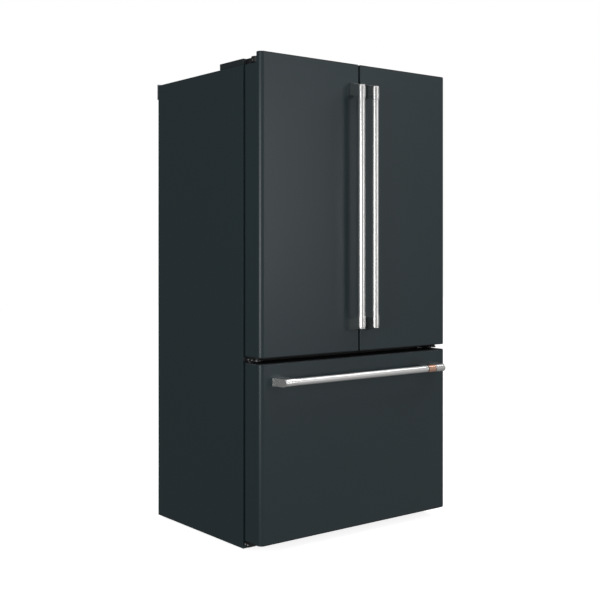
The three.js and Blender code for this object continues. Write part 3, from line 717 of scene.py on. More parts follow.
def settle(piece: Piece) -> Piece:
    """Turns a piece's modifiers into plain mesh.

    Args:
        piece: the piece.

    Returns:
        The same piece, with no modifiers.
    """
    depsgraph = bpy.context.evaluated_depsgraph_get()
    depsgraph.update()
    mesh = bpy.data.meshes.new_from_object(piece.evaluated_get(depsgraph), depsgraph=depsgraph)
    piece.modifiers.clear()
    piece.data = mesh
    return piece


def carve(piece: Piece, tool: Piece, operation: str = "DIFFERENCE") -> Piece:
    """Cuts or joins one solid with another, and removes the other.

    Args:
        piece: the solid that stays.
        tool: the solid that is used up.
        operation: the Boolean modifier's operation.

    Returns:
        The changed piece.
    """
    modifier = piece.modifiers.new("carve", "BOOLEAN")
    modifier.operation = operation
    modifier.solver = "EXACT"
    modifier.object = tool
    settle(piece)
    bpy.data.objects.remove(tool)
    return piece


def soften(piece: Piece, radius: float, steps: int = 2, angle_degrees: float = 30.0) -> Piece:
    """Rounds a piece's sharp edges and evens its normals.

    Args:
        piece: the piece.
        radius: the edges' radius.
        steps: segments across each edge.
        angle_degrees: edges that turn more than this are rounded.

    Returns:
        The same piece.
    """
    bevel = piece.modifiers.new("edges", "BEVEL")
    bevel.width = radius
    bevel.segments = steps
    bevel.limit_method = "ANGLE"
    bevel.angle_limit = math.radians(angle_degrees)
    bevel.miter_outer = "MITER_ARC"
    bevel.harden_normals = False
    settle(piece)
    return even_normals(piece)


def even_normals(piece: Piece) -> Piece:
    """Gives large faces flat shading beside their rounded edges.

    Args:
        piece: the piece.

    Returns:
        The same piece.
    """
    for polygon in piece.data.polygons:
        polygon.use_smooth = True
    piece.data.set_sharp_from_angle(angle=math.radians(50.0))
    weighted = piece.modifiers.new("normals", "WEIGHTED_NORMAL")
    weighted.keep_sharp = True
    weighted.weight = 80
    return settle(piece)


def softened_node(node: Piece, name: str, radius: float, steps: int = 2) -> Piece:
    """A fine copy of a CAD node, with its edges rounded.

    Args:
        node: the CAD node.
        name: the new piece's name.
        radius: the edges' radius.
        steps: segments across each edge.

    Returns:
        The new piece.
    """
    mesh = bmesh.new()
    mesh.from_mesh(node.data)
    bmesh.ops.remove_doubles(mesh, verts=mesh.verts, dist=0.01 * MM)
    bmesh.ops.dissolve_limit(mesh, angle_limit=math.radians(1.0), verts=mesh.verts, edges=mesh.edges)
    data = bpy.data.meshes.new(name)
    mesh.to_mesh(data)
    mesh.free()
    made = bpy.data.objects.new(name, data)
    bpy.context.scene.collection.objects.link(made)
    return soften(made, radius, steps)


def arc(centre: Point2, radius: float, start: float, end: float, steps: int) -> list[Point2]:
    """Points along a circular arc.

    Args:
        centre: its centre.
        radius: its radius.
        start: first angle in degrees.
        end: last angle in degrees.
        steps: how many segments.

    Returns:
        The points, both ends included.
    """
    turns = [math.radians(start + (end - start) * k / steps) for k in range(steps + 1)]
    return [(centre[0] + radius * math.cos(turn), centre[1] + radius * math.sin(turn)) for turn in turns]


class Repeater:
    """A node tree that lays copies of a piece along two directions."""

    def __init__(self) -> None:
        """Builds the tree once."""
        self.tree = bpy.data.node_groups.new("copies_in_rows", "GeometryNodeTree")
        face = self.tree.interface
        face.new_socket("Geometry", in_out="INPUT", socket_type="NodeSocketGeometry")
        for label in ("Count", "Rows"):
            face.new_socket(label, in_out="INPUT", socket_type="NodeSocketInt")
        for label in ("Step", "Row Step"):
            face.new_socket(label, in_out="INPUT", socket_type="NodeSocketVector")
        face.new_socket("Finish", in_out="INPUT", socket_type="NodeSocketMaterial")
        face.new_socket("Geometry", in_out="OUTPUT", socket_type="NodeSocketGeometry")
        given = self.tree.nodes.new("NodeGroupInput")
        line = self._line(given, "Count", "Step")
        rows = self._line(given, "Rows", "Row Step")
        grid = self._copies(rows.outputs["Mesh"], line.outputs["Mesh"])
        laid = self._copies(grid, given.outputs["Geometry"])
        dress = self.tree.nodes.new("GeometryNodeSetMaterial")
        result = self.tree.nodes.new("NodeGroupOutput")
        self.tree.links.new(laid, dress.inputs["Geometry"])
        self.tree.links.new(given.outputs["Finish"], dress.inputs["Material"])
        self.tree.links.new(dress.outputs["Geometry"], result.inputs["Geometry"])

    def _line(self, given: bpy.types.Node, count: str, step: str) -> bpy.types.Node:
        """A line of points.

        Args:
            given: the group's input node.
            count: the input that says how many points.
            step: the input that says how far apart.

        Returns:
            The Mesh Line node.
        """
        line = self.tree.nodes.new("GeometryNodeMeshLine")
        line.mode = "OFFSET"
        self.tree.links.new(given.outputs[count], line.inputs["Count"])
        self.tree.links.new(given.outputs[step], line.inputs["Offset"])
        return line

    def _copies(self, points: bpy.types.NodeSocket, thing: bpy.types.NodeSocket) -> bpy.types.NodeSocket:
        """Real copies of a thing on points.

        Args:
            points: where they go.
            thing: what is copied.

        Returns:
            The realized geometry.
        """
        place = self.tree.nodes.new("GeometryNodeInstanceOnPoints")
        real = self.tree.nodes.new("GeometryNodeRealizeInstances")
        self.tree.links.new(points, place.inputs["Points"])
        self.tree.links.new(thing, place.inputs["Instance"])
        self.tree.links.new(place.outputs["Instances"], real.inputs["Geometry"])
        return real.outputs["Geometry"]

    def lay(
        self,
        piece: Piece,
        finish: bpy.types.Material,
        count: int,
        step: Point,
        rows: int = 1,
        row_step: Point = (0.0, 0.0, 0.0),
    ) -> Piece:
        """Repeats a piece.

        Args:
            piece: the first copy, in its place.
            finish: the copies' material.
            count: copies along a row.
            step: from one copy to the next.
            rows: how many rows.
            row_step: from one row to the next.

        Returns:
            The piece, now all the copies as one plain mesh.
        """
        values = {"Count": count, "Step": step, "Rows": rows, "Row Step": row_step, "Finish": finish}
        modifier = piece.modifiers.new("copies", "NODES")
        modifier.node_group = self.tree
        for item in self.tree.interface.items_tree:
            if item.in_out == "INPUT" and item.name in values:
                modifier[item.identifier] = values[item.name]
        return settle(piece)


# ---- Shared by all sub-assemblies --------------------------------------------------


@dataclass
class Workshop:
    """What every sub-assembly needs: the frame's nodes, the finishes and the repeater."""

    nodes: Mapping[str, Piece]
    finishes: Finishes
    repeater: Repeater

    def fit(
        self,
        piece: Piece,
        body: str,
        finish: bpy.types.Material,
        slot: Slot,
        stands_for: Sequence[str] = (),
    ) -> Piece:
        """Dresses a new piece and hangs it on its body.

        Args:
            piece: the piece.
            body: the CAD body that it rides on.
            finish: its material.
            slot: the record's slot; not used.
            stands_for: CAD nodes that it replaces.

        Returns:
            The piece.
        """
        piece.data.materials.clear()
        piece.data.materials.append(finish)
        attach(piece, body)
        if stands_for:
            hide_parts(*stands_for)
        LOG.info("%s rides on %s", piece.name, body)
        return piece

    def refine(
        self, node: str, body: str, finish: bpy.types.Material, slot: Slot, radius_mm: float
    ) -> Piece:
        """Replaces a CAD node by its own shape with rounded edges.

        Args:
            node: the CAD node.
            body: the body that it belongs to.
            finish: its material.
            slot: the record's slot.
            radius_mm: the edges' radius in millimetres.

        Returns:
            The new piece.
        """
        piece = softened_node(self.nodes[node], f"{node}_fine", radius_mm * MM)
        return self.fit(piece, body, finish, slot, [node])

    def dress(self, node: str, finish: bpy.types.Material) -> None:
        """Gives a CAD node that stays as it is its material.

        Args:
            node: the CAD node.
            finish: its material.
        """
        data = self.nodes[node].data
        data.materials.clear()
        data.materials.append(finish)
        LOG.info("%s keeps its shape", node)

    def screw(
        self, name: str, place: Sequence[float], axis: Axis, facing: int, radius_mm: float = 4.5
    ) -> Piece:
        """A pan-head screw with a cross recess.

        Args:
            name: its name.
            place: where its head sits on the surface.
            axis: the axis that it stands along.
            facing: +1 or -1, the way its head points.
            radius_mm: the head's radius.

        Returns:
            The screw.
        """
        radius = radius_mm * MM
        height = 0.45 * radius
        profile = [(0.0, height * 0.35), (radius * 0.28, height * 0.35), (radius * 0.34, height)]
        profile += [(radius * (0.34 + 0.6 * k / 4), height * (1 - 0.5 * (k / 4) ** 2)) for k in range(1, 5)]
        profile += [(radius, height * 0.3), (radius, 0.0), (0.0, 0.0)]
        turned = [(r, facing * h) for r, h in profile]
        return Form().lathe(turned, place, axis, 16).piece(name)


# ---- Cabinet ---------------------------------------------------------------------------


@dataclass
class Cabinet:
    """The outer case, its covers, base and feet."""

    shop: Workshop
    sheet_edge_mm: float = 0.6
    bead_count: int = 7
    bead_radius_mm: float = 9.0
    bead_height_mm: float = 3.0
    bracket_middle: float = 0.0255

    def build(self) -> None:
        """Builds every fixed outer piece."""
        self.case()
        self.back()
        self.rail()
        self.base()
        self.feet()

    def case(self) -> None:
        """The folded wrapper, and the cover over the top hinges with its screws."""
        finishes = self.shop.finishes
        self.shop.refine("outer_wrapper", "cabinet", finishes.slate, Slot.SLATE_PAINT, self.sheet_edge_mm)
        self.shop.refine("top_cover", "cabinet", finishes.cover_plastic, Slot.SLATE_PLASTIC, 1.6)
        self.shop.dress("cabinet_insulation", finishes.foam)
        low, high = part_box("top_cover")
        place = (low.x + 0.09, (low.y + high.y) / 2, high.z - 0.6 * MM)
        screw = self.shop.screw("top_cover_screws", place, Axis.Z, 1, 4.0)
        step = ((high.x - low.x - 0.18) / 3, 0.0, 0.0)
        self.shop.repeater.lay(screw, finishes.zinc, 4, step)
        self.shop.fit(screw, "cabinet", finishes.zinc, Slot.ZINC_STEEL)

    def back(self) -> None:
        """The rear panel with pressed beads and screws, and the vented cover below it."""
        finishes = self.shop.finishes
        self.shop.refine("rear_panel", "cabinet", finishes.galvanised, Slot.REAR_STEEL, 0.5)
        self.shop.refine("machine_cover", "cabinet", finishes.black_paint, Slot.BLACK_PAINT, 0.4)
        self.shop.refine("power_inlet", "cabinet", finishes.black_plastic, Slot.BLACK_PLASTIC, 0.6)
        self._beads()
        self._panel_screws()

    def _beads(self) -> None:
        """Vertical pressed beads that stiffen the rear panel."""
        low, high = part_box("rear_panel")
        sheet_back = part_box("outer_wrapper")[1].y + 0.6 * MM
        radius, height = self.bead_radius_mm * MM, self.bead_height_mm * MM
        margin = 0.11
        start = low.x + margin
        hump = arc((0.0, 0.0), radius, 0.0, 180.0, 12)
        outline = [(start + x, sheet_back + y * height / radius) for x, y in hump]
        span = (low.z + 0.06, high.z - 0.12)
        bead = Form().prism(outline, span, Axis.Z, 1.2 * MM).piece("rear_panel_beads")
        step = ((high.x - low.x - 2 * margin) / (self.bead_count - 1), 0.0, 0.0)
        self.shop.repeater.lay(bead, self.shop.finishes.galvanised, self.bead_count, step)
        self.shop.fit(bead, "cabinet", self.shop.finishes.galvanised, Slot.REAR_STEEL)

    def _panel_screws(self) -> None:
        """Screws down both edges of the rear panel and along the vented cover."""
        low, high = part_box("rear_panel")
        finish = self.shop.finishes.zinc
        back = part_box("outer_wrapper")[1].y + 0.5 * MM
        rise = (high.z - low.z - 0.16) / 6
        sides = self.shop.screw("rear_panel_screws", (low.x + 0.02, back, low.z + 0.03), Axis.Y, 1)
        self.shop.repeater.lay(sides, finish, 2, (high.x - low.x - 0.04, 0.0, 0.0), 7, (0.0, 0.0, rise))
        self.shop.fit(sides, "cabinet", finish, Slot.ZINC_STEEL)
        low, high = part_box("machine_cover")
        cover = self.shop.screw("machine_cover_screws", (low.x + 0.02, high.y, low.z + 0.02), Axis.Y, 1)
        across = (high.x - low.x - 0.04) / 4
        up = high.z - low.z - 0.035
        self.shop.repeater.lay(cover, finish, 5, (across, 0.0, 0.0), 2, (0.0, 0.0, up))
        self.shop.fit(cover, "cabinet", finish, Slot.ZINC_STEEL)

    def rail(self) -> None:
        """The dark cover over the rail between the two compartments."""
        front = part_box("outer_wrapper")[0].y
        bottom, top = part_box("drawer_gasket")[1].z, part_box("left_door_gasket")[0].z
        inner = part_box("right_centre_hinge")[0].x - 1.0 * MM
        clear = 1.5 * MM
        low = (-inner, front - 1.4 * MM, bottom + clear)
        high = (inner, front - 0.1 * MM, top - clear)
        cover = even_normals(Form().block(low, high, 0.5 * MM).piece("centre_rail_cover"))
        self.shop.fit(cover, "cabinet", self.shop.finishes.black_plastic, Slot.BLACK_PLASTIC)

    def base(self) -> None:
        """The base frame, and the screws in its front corner brackets."""
        finishes = self.shop.finishes
        self.shop.refine("base_frame", "cabinet", finishes.black_paint, Slot.BLACK_PAINT, 0.5)
        low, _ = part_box("base_frame")
        for side in Side:
            place = (side.value * (abs(low.x) - 2.0 * MM), low.y + 7.0 * MM, self.bracket_middle)
            screw = self.shop.screw(f"{side.word}_corner_screws", place, Axis.X, side.value, 3.6)
            self.shop.repeater.lay(screw, finishes.zinc, 2, (0.0, 0.014, 0.0))
            self.shop.fit(screw, "cabinet", finishes.zinc, Slot.ZINC_STEEL)

    def feet(self) -> None:
        """The levelling legs and the rollers."""
        finishes = self.shop.finishes
        for side in Side:
            self._leg(side)
            roller = f"{side.word}_rear_roller"
            self.shop.refine(roller, f"{side.word}_roller", finishes.nylon, Slot.NYLON, 1.5)

    def _leg(self, side: Side) -> None:
        """A threaded levelling leg with a flat foot.

        Args:
            side: which leg.
        """
        node = f"{side.word}_front_leg"
        low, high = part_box(node)
        centre = ((low.x + high.x) / 2, (low.y + high.y) / 2, low.z)
        foot = (high.x - low.x) / 2
        profile = [(0.0, 0.0), (foot - 1.0 * MM, 0.0), (foot, 1.0 * MM), (foot, 4.5 * MM)]
        profile += [(0.66 * foot, 7.2 * MM), (4.9 * MM, 7.4 * MM)]
        pitch = 1.5 * MM
        top = high.z - low.z
        height = 9.0 * MM
        while height + pitch < top:
            profile += [(4.4 * MM, height), (5.0 * MM, height + pitch / 2)]
            height += pitch
        profile += [(4.4 * MM, top - 0.5 * MM), (3.8 * MM, top), (0.0, top)]
        leg = Form().lathe(profile, centre, Axis.Z, 40).piece(f"{node}_fine")
        self.shop.fit(leg, "cabinet", self.shop.finishes.zinc, Slot.ZINC_STEEL, [node])


@dataclass
class DoorHinges:
    """The top and centre hinges of both doors."""

    shop: Workshop
    pin_inset_mm: float = 21.0
    pin_depth_mm: float = 50.0
    spacer_heights_mm: tuple[Point2, ...] = ((-0.5, 2.8), (9.2, 16.5))

    def build(self) -> None:
        """Builds the four hinges with their screws."""
        for side in Side:
            self._top(side)
            self._centre(side)

    def _top(self, side: Side) -> None:
        """The arm, knuckle and pin above a door.

        Args:
            side: which door.
        """
        finishes = self.shop.finishes
        node = f"{side.word}_top_hinge"
        self.shop.refine(node, "cabinet", finishes.black_paint, Slot.BLACK_PAINT, 1.2)
        low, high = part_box(node)
        outer = high.x if side is Side.RIGHT else low.x
        place = (outer - side.value * 1.4 * MM, low.y + 22.5 * MM, high.z - 13.0 * MM)
        screw = self.shop.screw(f"{side.word}_hinge_arm_screw", place, Axis.X, side.value, 3.6)
        self.shop.fit(screw, "cabinet", finishes.zinc, Slot.ZINC_STEEL)

    def _centre(self, side: Side) -> None:
        """The bracket, arm and pin between door and drawer.

        Args:
            side: which door.
        """
        finishes = self.shop.finishes
        node = f"{side.word}_centre_hinge"
        self.shop.refine(node, "cabinet", finishes.black_zinc, Slot.ZINC_STEEL, 0.8)
        low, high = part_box(node)
        arm_side = side.value * (abs(high.x if side is Side.RIGHT else low.x) - 13.0 * MM)
        start = (arm_side, low.y + 0.039, low.z + 6.0 * MM)
        screw = self.shop.screw(f"{side.word}_centre_hinge_screws", start, Axis.X, side.value, 2.8)
        self.shop.repeater.lay(screw, finishes.zinc, 2, (0.0, 0.021, 0.0))
        self.shop.fit(screw, "cabinet", finishes.zinc, Slot.ZINC_STEEL)
        self._bush(side)
        self._spacers(side, low, high)

    def _spacers(self, side: Side, low: Vector, high: Vector) -> None:
        """The black plates above and below the centre hinge's arm.

        Args:
            side: which door.
            low: the lowest corner of the hinge.
            high: its highest corner.
        """
        outer = high.x if side is Side.RIGHT else low.x
        across = sorted((outer - side.value * 13.5 * MM, outer - side.value * 39.5 * MM))
        front, back = low.y + 29.0 * MM, high.y - 4.0 * MM
        form = Form()
        for bottom, top in self.spacer_heights_mm:
            low_corner = (across[0], front, low.z + bottom * MM)
            form.block(low_corner, (across[1], back, low.z + top * MM), 0.6 * MM)
        plates = even_normals(form.piece(f"{side.word}_hinge_spacers"))
        self.shop.fit(plates, "cabinet", self.shop.finishes.black_plastic, Slot.BLACK_PLASTIC)

    def _bush(self, side: Side) -> None:
        """The black bush that a door turns on, round the centre hinge's pin.

        Args:
            side: which door.
        """
        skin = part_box(f"{side.word}_door_skin")[0]
        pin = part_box(f"{side.word}_centre_hinge")
        outer = pin[0].x if side is Side.LEFT else pin[1].x
        centre = (outer - side.value * self.pin_inset_mm * MM, skin.y + self.pin_depth_mm * MM, skin.z)
        radius, height, edge = 10.5 * MM, 8.7 * MM, 0.8 * MM
        bore = 5.2 * MM
        profile = [(bore, 0.0), (radius, 0.0), (radius, height - edge)]
        profile += [(radius - edge, height), (bore, height)]
        turned = [(r, h - height - 0.2 * MM) for r, h in profile]
        bush = Form().lathe(turned, centre, Axis.Z, 36).piece(f"{side.word}_hinge_bush")
        self.shop.fit(bush, "cabinet", self.shop.finishes.black_plastic, Slot.BLACK_PLASTIC)


# ---- Handles ---------------------------------------------------------------------------


@dataclass
class Handle:
    """A round tube held off the door by a flared post at each end.

    The tube's node gives its axis, and each post's node gives where the post stands.
    """

    shop: Workshop
    body: str
    tube_node: str
    post_nodes: tuple[str, str]
    axis: Axis
    steel: bpy.types.Material
    edge_mm: float = 0.9
    arc_steps: int = 24
    tube_steps: int = 72

    def build(self) -> None:
        """Builds the tube and both posts."""
        low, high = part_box(self.tube_node)
        self.radius = (high.y - low.y) / 2
        self.centre = (low + high) / 2
        self._tube(low, high)
        for node in self.post_nodes:
            self._post(node)

    def _tube(self, low: Vector, high: Vector) -> None:
        """The tube.

        Args:
            low: the lowest corner of its node.
            high: the highest corner of its node.
        """
        along = self.axis.value
        start = self.centre.copy()
        start[along] = low[along]
        length = high[along] - low[along]
        form = Form().rod(self.radius, start, length, self.axis, self.tube_steps, 0.5 * MM)
        tube = form.piece(f"{self.tube_node}_fine")
        self.shop.fit(tube, self.body, self.steel, Slot.STAINLESS, [self.tube_node])

    def _post(self, node: str) -> None:
        """A post: a straight D-section collar, sheared so that its foot flares outwards.

        Args:
            node: the post's node.
        """
        low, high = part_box(node)
        along = self.axis.value
        across = Axis.X.value if self.axis is Axis.Z else Axis.Z.value
        half = (high[across] - low[across]) / 2
        outward = 1.0 if (low[along] + high[along]) / 2 > self.centre[along] else -1.0
        foot_end = high[along] if outward > 0 else low[along]
        inner_end = low[along] if outward > 0 else high[along]
        skew = self._skew(low, high, outward)
        collar_end = foot_end - outward * skew
        tube_y, door_y = self.centre.y, high.y
        outline = [(half, door_y), *self._nose(half), (-half, door_y)]
        outline = [(self.centre[across] + u, v) for u, v in outline]
        if self.axis is Axis.X:
            outline = [(v, u) for u, v in outline]
        span = tuple(sorted((collar_end, inner_end)))
        post = Form().prism(outline, span, self.axis).piece(f"{node}_fine")
        carve(post, self._bore(inner_end, outward))
        carve(post, self._groove(half, across, collar_end, outward))
        stand_off = door_y - tube_y
        for vertex in post.data.vertices:
            lean = max(0.0, (vertex.co.y - tube_y) / stand_off)
            vertex.co[along] += outward * skew * lean
        soften(post, self.edge_mm * MM, 3)
        self.shop.fit(post, self.body, self.shop.finishes.cast_steel, Slot.STAINLESS, [node])

    def _groove(self, half: float, across: int, collar_end: float, outward: float) -> Piece:
        """The tool that cuts the thin groove between a post's end plate and its collar.

        Args:
            half: half of the post's width.
            across: the index of the row axis across the post.
            collar_end: where the post's outer end is along the tube.
            outward: +1 or -1, away from the tube's middle.

        Returns:
            The tool.
        """
        start, width, depth, spare = 2.0 * MM, 2.8 * MM, 2.0 * MM, 4.0 * MM
        door_y = self.centre.y + 60.0 * MM
        rings = []
        for size in (half + spare, half - depth):
            points = [(size, door_y), *self._nose(size), (-size, door_y)]
            points = [(self.centre[across] + u, v) for u, v in points]
            rings.append([(v, u) for u, v in points] if self.axis is Axis.X else points)
        edge = collar_end - outward * start
        span = tuple(sorted((edge, edge - outward * width)))
        wide = tuple((span[0] - spare, span[1] + spare))
        outer = Form().prism(rings[0], span, self.axis).piece("groove_outer")
        return carve(outer, Form().prism(rings[1], wide, self.axis).piece("groove_inner"))

    def _nose(self, half: float) -> list[Point2]:
        """The half-round front of a post's section, from +half to -half.

        Args:
            half: half of the post's width.

        Returns:
            Its points.
        """
        return arc((0.0, self.centre.y), half, 0.0, -180.0, self.arc_steps)

    def _skew(self, low: Vector, high: Vector, outward: float) -> float:
        """How far a post's foot stands beyond its collar.

        Args:
            low: the lowest corner of its node.
            high: the highest corner of its node.
            outward: +1 or -1, away from the tube's middle.

        Returns:
            The distance.
        """
        along = self.axis.value
        tube_low, tube_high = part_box(self.tube_node)
        tube_end = tube_high[along] if outward > 0 else tube_low[along]
        foot_end = high[along] if outward > 0 else low[along]
        end_wall = 5.3 * MM
        return abs(foot_end - tube_end) - end_wall

    def _bore(self, inner_end: float, outward: float) -> Piece:
        """The tool that cuts the tube's socket.

        Args:
            inner_end: where the collar's mouth is.
            outward: +1 or -1, away from the tube's middle.

        Returns:
            The tool.
        """
        depth = 20.0 * MM
        start = self.centre.copy()
        start[self.axis.value] = min(inner_end - outward * depth, inner_end + outward * depth)
        form = Form().rod(self.radius + 0.3 * MM, start, 2 * depth, self.axis, self.tube_steps)
        return form.piece("post_bore")


# ---- Doors and drawer front --------------------------------------------------------------


@dataclass
class Panel:
    """A door or drawer front: folded skin, end caps, liner and gasket."""

    shop: Workshop
    prefix: str
    body: str
    left_radius_mm: float
    right_radius_mm: float
    crest: bool
    sheet_mm: float = 1.5
    cap_mm: float = 3.0
    crest_depth_mm: float = 24.7
    arc_steps: int = 14

    def build(self) -> None:
        """Builds the panel's pieces."""
        self.low, self.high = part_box(f"{self.prefix}_skin")
        self.body_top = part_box(f"{self.prefix}_liner")[1].z + 1.8 * MM
        self._skin()
        self._caps()
        self._liner()
        self._gasket()

    def outline(self, inset: float, back: float) -> list[Point2]:
        """The panel's section from above, with its front corners rounded.

        Args:
            inset: how far inside the outer surface.
            back: where it ends, in y.

        Returns:
            Its points.
        """
        x0, x1 = self.low.x + inset, self.high.x - inset
        front = self.low.y + inset
        left = max(self.left_radius_mm * MM - inset, 0.8 * MM)
        right = max(self.right_radius_mm * MM - inset, 0.8 * MM)
        return [
            (x0, back),
            *arc((x0 + left, front + left), left, 180.0, 270.0, self.arc_steps),
            *arc((x1 - right, front + right), right, 270.0, 360.0, self.arc_steps),
            (x1, back),
        ]

    def _skin(self) -> None:
        """The folded steel skin, open at the back, where the liner fills it."""
        cap, sheet = self.cap_mm * MM, self.sheet_mm * MM
        bottom, top = self.low.z + cap, self.high.z - cap
        back = self.high.y
        body_top = self.body_top if self.crest else top
        skin = Form().prism(self.outline(0.0, back), (bottom, body_top)).piece(f"{self.prefix}_skin_panel")
        if self.crest:
            crest_back = self.low.y + self.crest_depth_mm * MM
            crest = Form().prism(self.outline(0.0, crest_back), (bottom + 0.1, top)).piece("crest_tool")
            carve(skin, crest, "UNION")
        hollow_top = body_top - (sheet if self.crest else -1.0 * MM)
        hollow_outline = self.outline(sheet, back + 5 * MM)
        hollow = Form().prism(hollow_outline, (bottom - 1.0 * MM, hollow_top)).piece("hollow_tool")
        carve(skin, hollow)
        soften(skin, 0.4 * MM, 2)
        self.shop.fit(skin, self.body, self.shop.finishes.slate, Slot.SLATE_PAINT, [f"{self.prefix}_skin"])

    def _caps(self) -> None:
        """The dark moulded caps that close the skin's top and bottom."""
        cap, lap = self.cap_mm * MM, 0.15 * MM
        crest_back = self.low.y + self.crest_depth_mm * MM
        top_back = crest_back if self.crest else self.high.y
        ends = {
            "bottom": (self.high.y, (self.low.z, self.low.z + cap - lap)),
            "top": (top_back, (self.high.z - cap + lap, self.high.z)),
        }
        for place, (back, span) in ends.items():
            name = f"{self.prefix}_{place}_cap"
            piece = Form().prism(self.outline(0.6 * MM, back), span, Axis.Z, 0.8 * MM).piece(name)
            even_normals(piece)
            self.shop.fit(piece, self.body, self.shop.finishes.cap_plastic, Slot.BLACK_PLASTIC)

    def _liner(self) -> None:
        """The foamed inner panel."""
        white = self.shop.finishes.white_liner
        self.shop.refine(f"{self.prefix}_liner", self.body, white, Slot.WHITE_LINER, 1.5)

    def _gasket(self) -> None:
        """A magnetic seal: a flat foot, a bellows and a round sealing lip, mitred at its corners."""
        node = f"{self.prefix}_gasket"
        low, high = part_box(node)
        width = 14.0 * MM
        deep = high.y - low.y
        section = [
            (0.05, 0.0), (0.95, 0.0), (0.95, 0.18), (0.72, 0.26), (0.9, 0.38), (0.72, 0.5),
            (0.96, 0.62), (1.0, 0.8), (0.86, 0.97), (0.5, 1.0), (0.14, 0.97), (0.0, 0.8),
            (0.04, 0.62), (0.28, 0.5), (0.1, 0.38), (0.28, 0.26), (0.05, 0.18),
        ]
        form = Form()
        rings = []
        for x_side, z_side in ((-1, -1), (1, -1), (1, 1), (-1, 1)):
            x_edge = low.x if x_side < 0 else high.x
            z_edge = low.z if z_side < 0 else high.z
            ring = []
            for u, v in section:
                place = (x_edge - x_side * u * width, low.y + v * deep, z_edge - z_side * u * width)
                ring.append(form.mesh.verts.new(place))
            rings.append(ring)
        count = len(section)
        for index in range(4):
            first, second = rings[index], rings[(index + 1) % 4]
            for k in range(count):
                after = (k + 1) % count
                form.mesh.faces.new((first[k], first[after], second[after], second[k]))
        bmesh.ops.recalc_face_normals(form.mesh, faces=form.mesh.faces)
        piece = form.piece(f"{node}_fine", 60.0)
        self.shop.fit(piece, self.body, self.shop.finishes.rubber, Slot.GREY_RUBBER, [node])


@dataclass
class FrenchDoor:
    """One upper door with its handle and bins."""

    shop: Workshop
    side: Side
    outer_radius_mm: float = 18.5
    inner_radius_mm: float = 3.0

    def build(self) -> None:
        """Builds the door."""
        word = self.side.word
        radii = (self.outer_radius_mm, self.inner_radius_mm)
        left, right = radii if self.side is Side.LEFT else reversed(radii)
        Panel(self.shop, f"{word}_door", f"{word}_door", left, right, crest=True).build()
        posts = (f"{word}_handle_bottom_post", f"{word}_handle_top_post")
        steel = self.shop.finishes.upright_steel
        Handle(self.shop, f"{word}_door", f"{word}_handle_tube", posts, Axis.Z, steel).build()
        for place in ("lower", "upper"):
            OpenBox(self.shop, f"{word}_door_{place}_bin", f"{word}_door").build()


@dataclass
class FreezerDrawer:
    """The drawer front, its handle with the copper ring, and its slides."""

    shop: Workshop
    edge_radius_mm: float = 18.5
    # Width of the black band at the copper ring's left end. The band sits a little below the ring's
    # surface, and its black is painted shade on the ring's rim.
    seam_mm: float = 4.0
    band_mm: float = 3.0

    def build(self) -> None:
        """Builds the drawer."""
        finishes = self.shop.finishes
        radius = self.edge_radius_mm
        Panel(self.shop, "drawer", "freezer_drawer", radius, radius, crest=False).build()
        posts = ("drawer_handle_left_post", "drawer_handle_right_post")
        tube = "drawer_handle_tube"
        Handle(self.shop, "freezer_drawer", tube, posts, Axis.X, finishes.level_steel).build()
        self._ring()
        for side in Side:
            word = side.word
            self.shop.refine(f"{word}_fixed_slide", "cabinet", finishes.zinc, Slot.ZINC_STEEL, 0.5)
            self.shop.refine(f"{word}_middle_slide", "middle_slides", finishes.zinc, Slot.ZINC_STEEL, 0.5)
            self.shop.refine(f"{word}_drawer_slide", "freezer_drawer", finishes.zinc, Slot.ZINC_STEEL, 0.8)

    def _ring(self) -> None:
        """The copper ring round the tube beside the right post, with a black band at its left end that
        paints the shade on its rim, and a steel band beyond that.
        """
        low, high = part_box("drawer_handle_ring")
        outer, edge = (high.y - low.y) / 2, 0.7 * MM
        inner = outer - 1.7 * MM
        painted_shade_rim_end = low.x + self.seam_mm * MM
        finishes = self.shop.finishes
        ring = self._sleeve("drawer_handle_ring_fine", (painted_shade_rim_end, high.x), (inner, outer), edge)
        self.shop.fit(ring, "freezer_drawer", finishes.copper, Slot.COPPER, ["drawer_handle_ring"])
        # Black band at the ring's left end, set a little below the ring's surface: painted shade that
        # stands for the shadow on the ring's left rim.
        painted_shade_rim = self._sleeve("ring_seam", (low.x, painted_shade_rim_end), (inner, outer - edge), 0.1 * MM)
        self.shop.fit(painted_shade_rim, "freezer_drawer", finishes.black_plastic, Slot.BLACK_PLASTIC)
        band_span = (low.x - self.band_mm * MM, low.x)
        band = self._sleeve("ring_edge_band", band_span, (inner, outer - 0.2 * MM), edge)
        self.shop.fit(band, "freezer_drawer", finishes.cast_steel, Slot.STAINLESS)

    def _sleeve(self, name: str, span: Point2, radii: Point2, edge: float) -> Piece:
        """A sleeve round the handle's tube.

        Args:
            name: its name.
            span: where it starts and ends along the tube.
            radii: its inner and outer radius.
            edge: the rounding of its outer rims.

        Returns:
            The sleeve.
        """
        low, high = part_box("drawer_handle_ring")
        start = (span[0], (low.y + high.y) / 2, (low.z + high.z) / 2)
        inner, outer = radii
        half = [(inner, 0.0), (outer - edge, 0.0), (outer - 0.3 * edge, 0.3 * edge), (outer, edge)]
        length = span[1] - span[0]
        profile = half + [(radius, length - height) for radius, height in reversed(half)]
        return even_normals(Form().lathe(profile, start, Axis.X, 72).piece(name))


# ---- Inside ----------------------------------------------------------------------------------


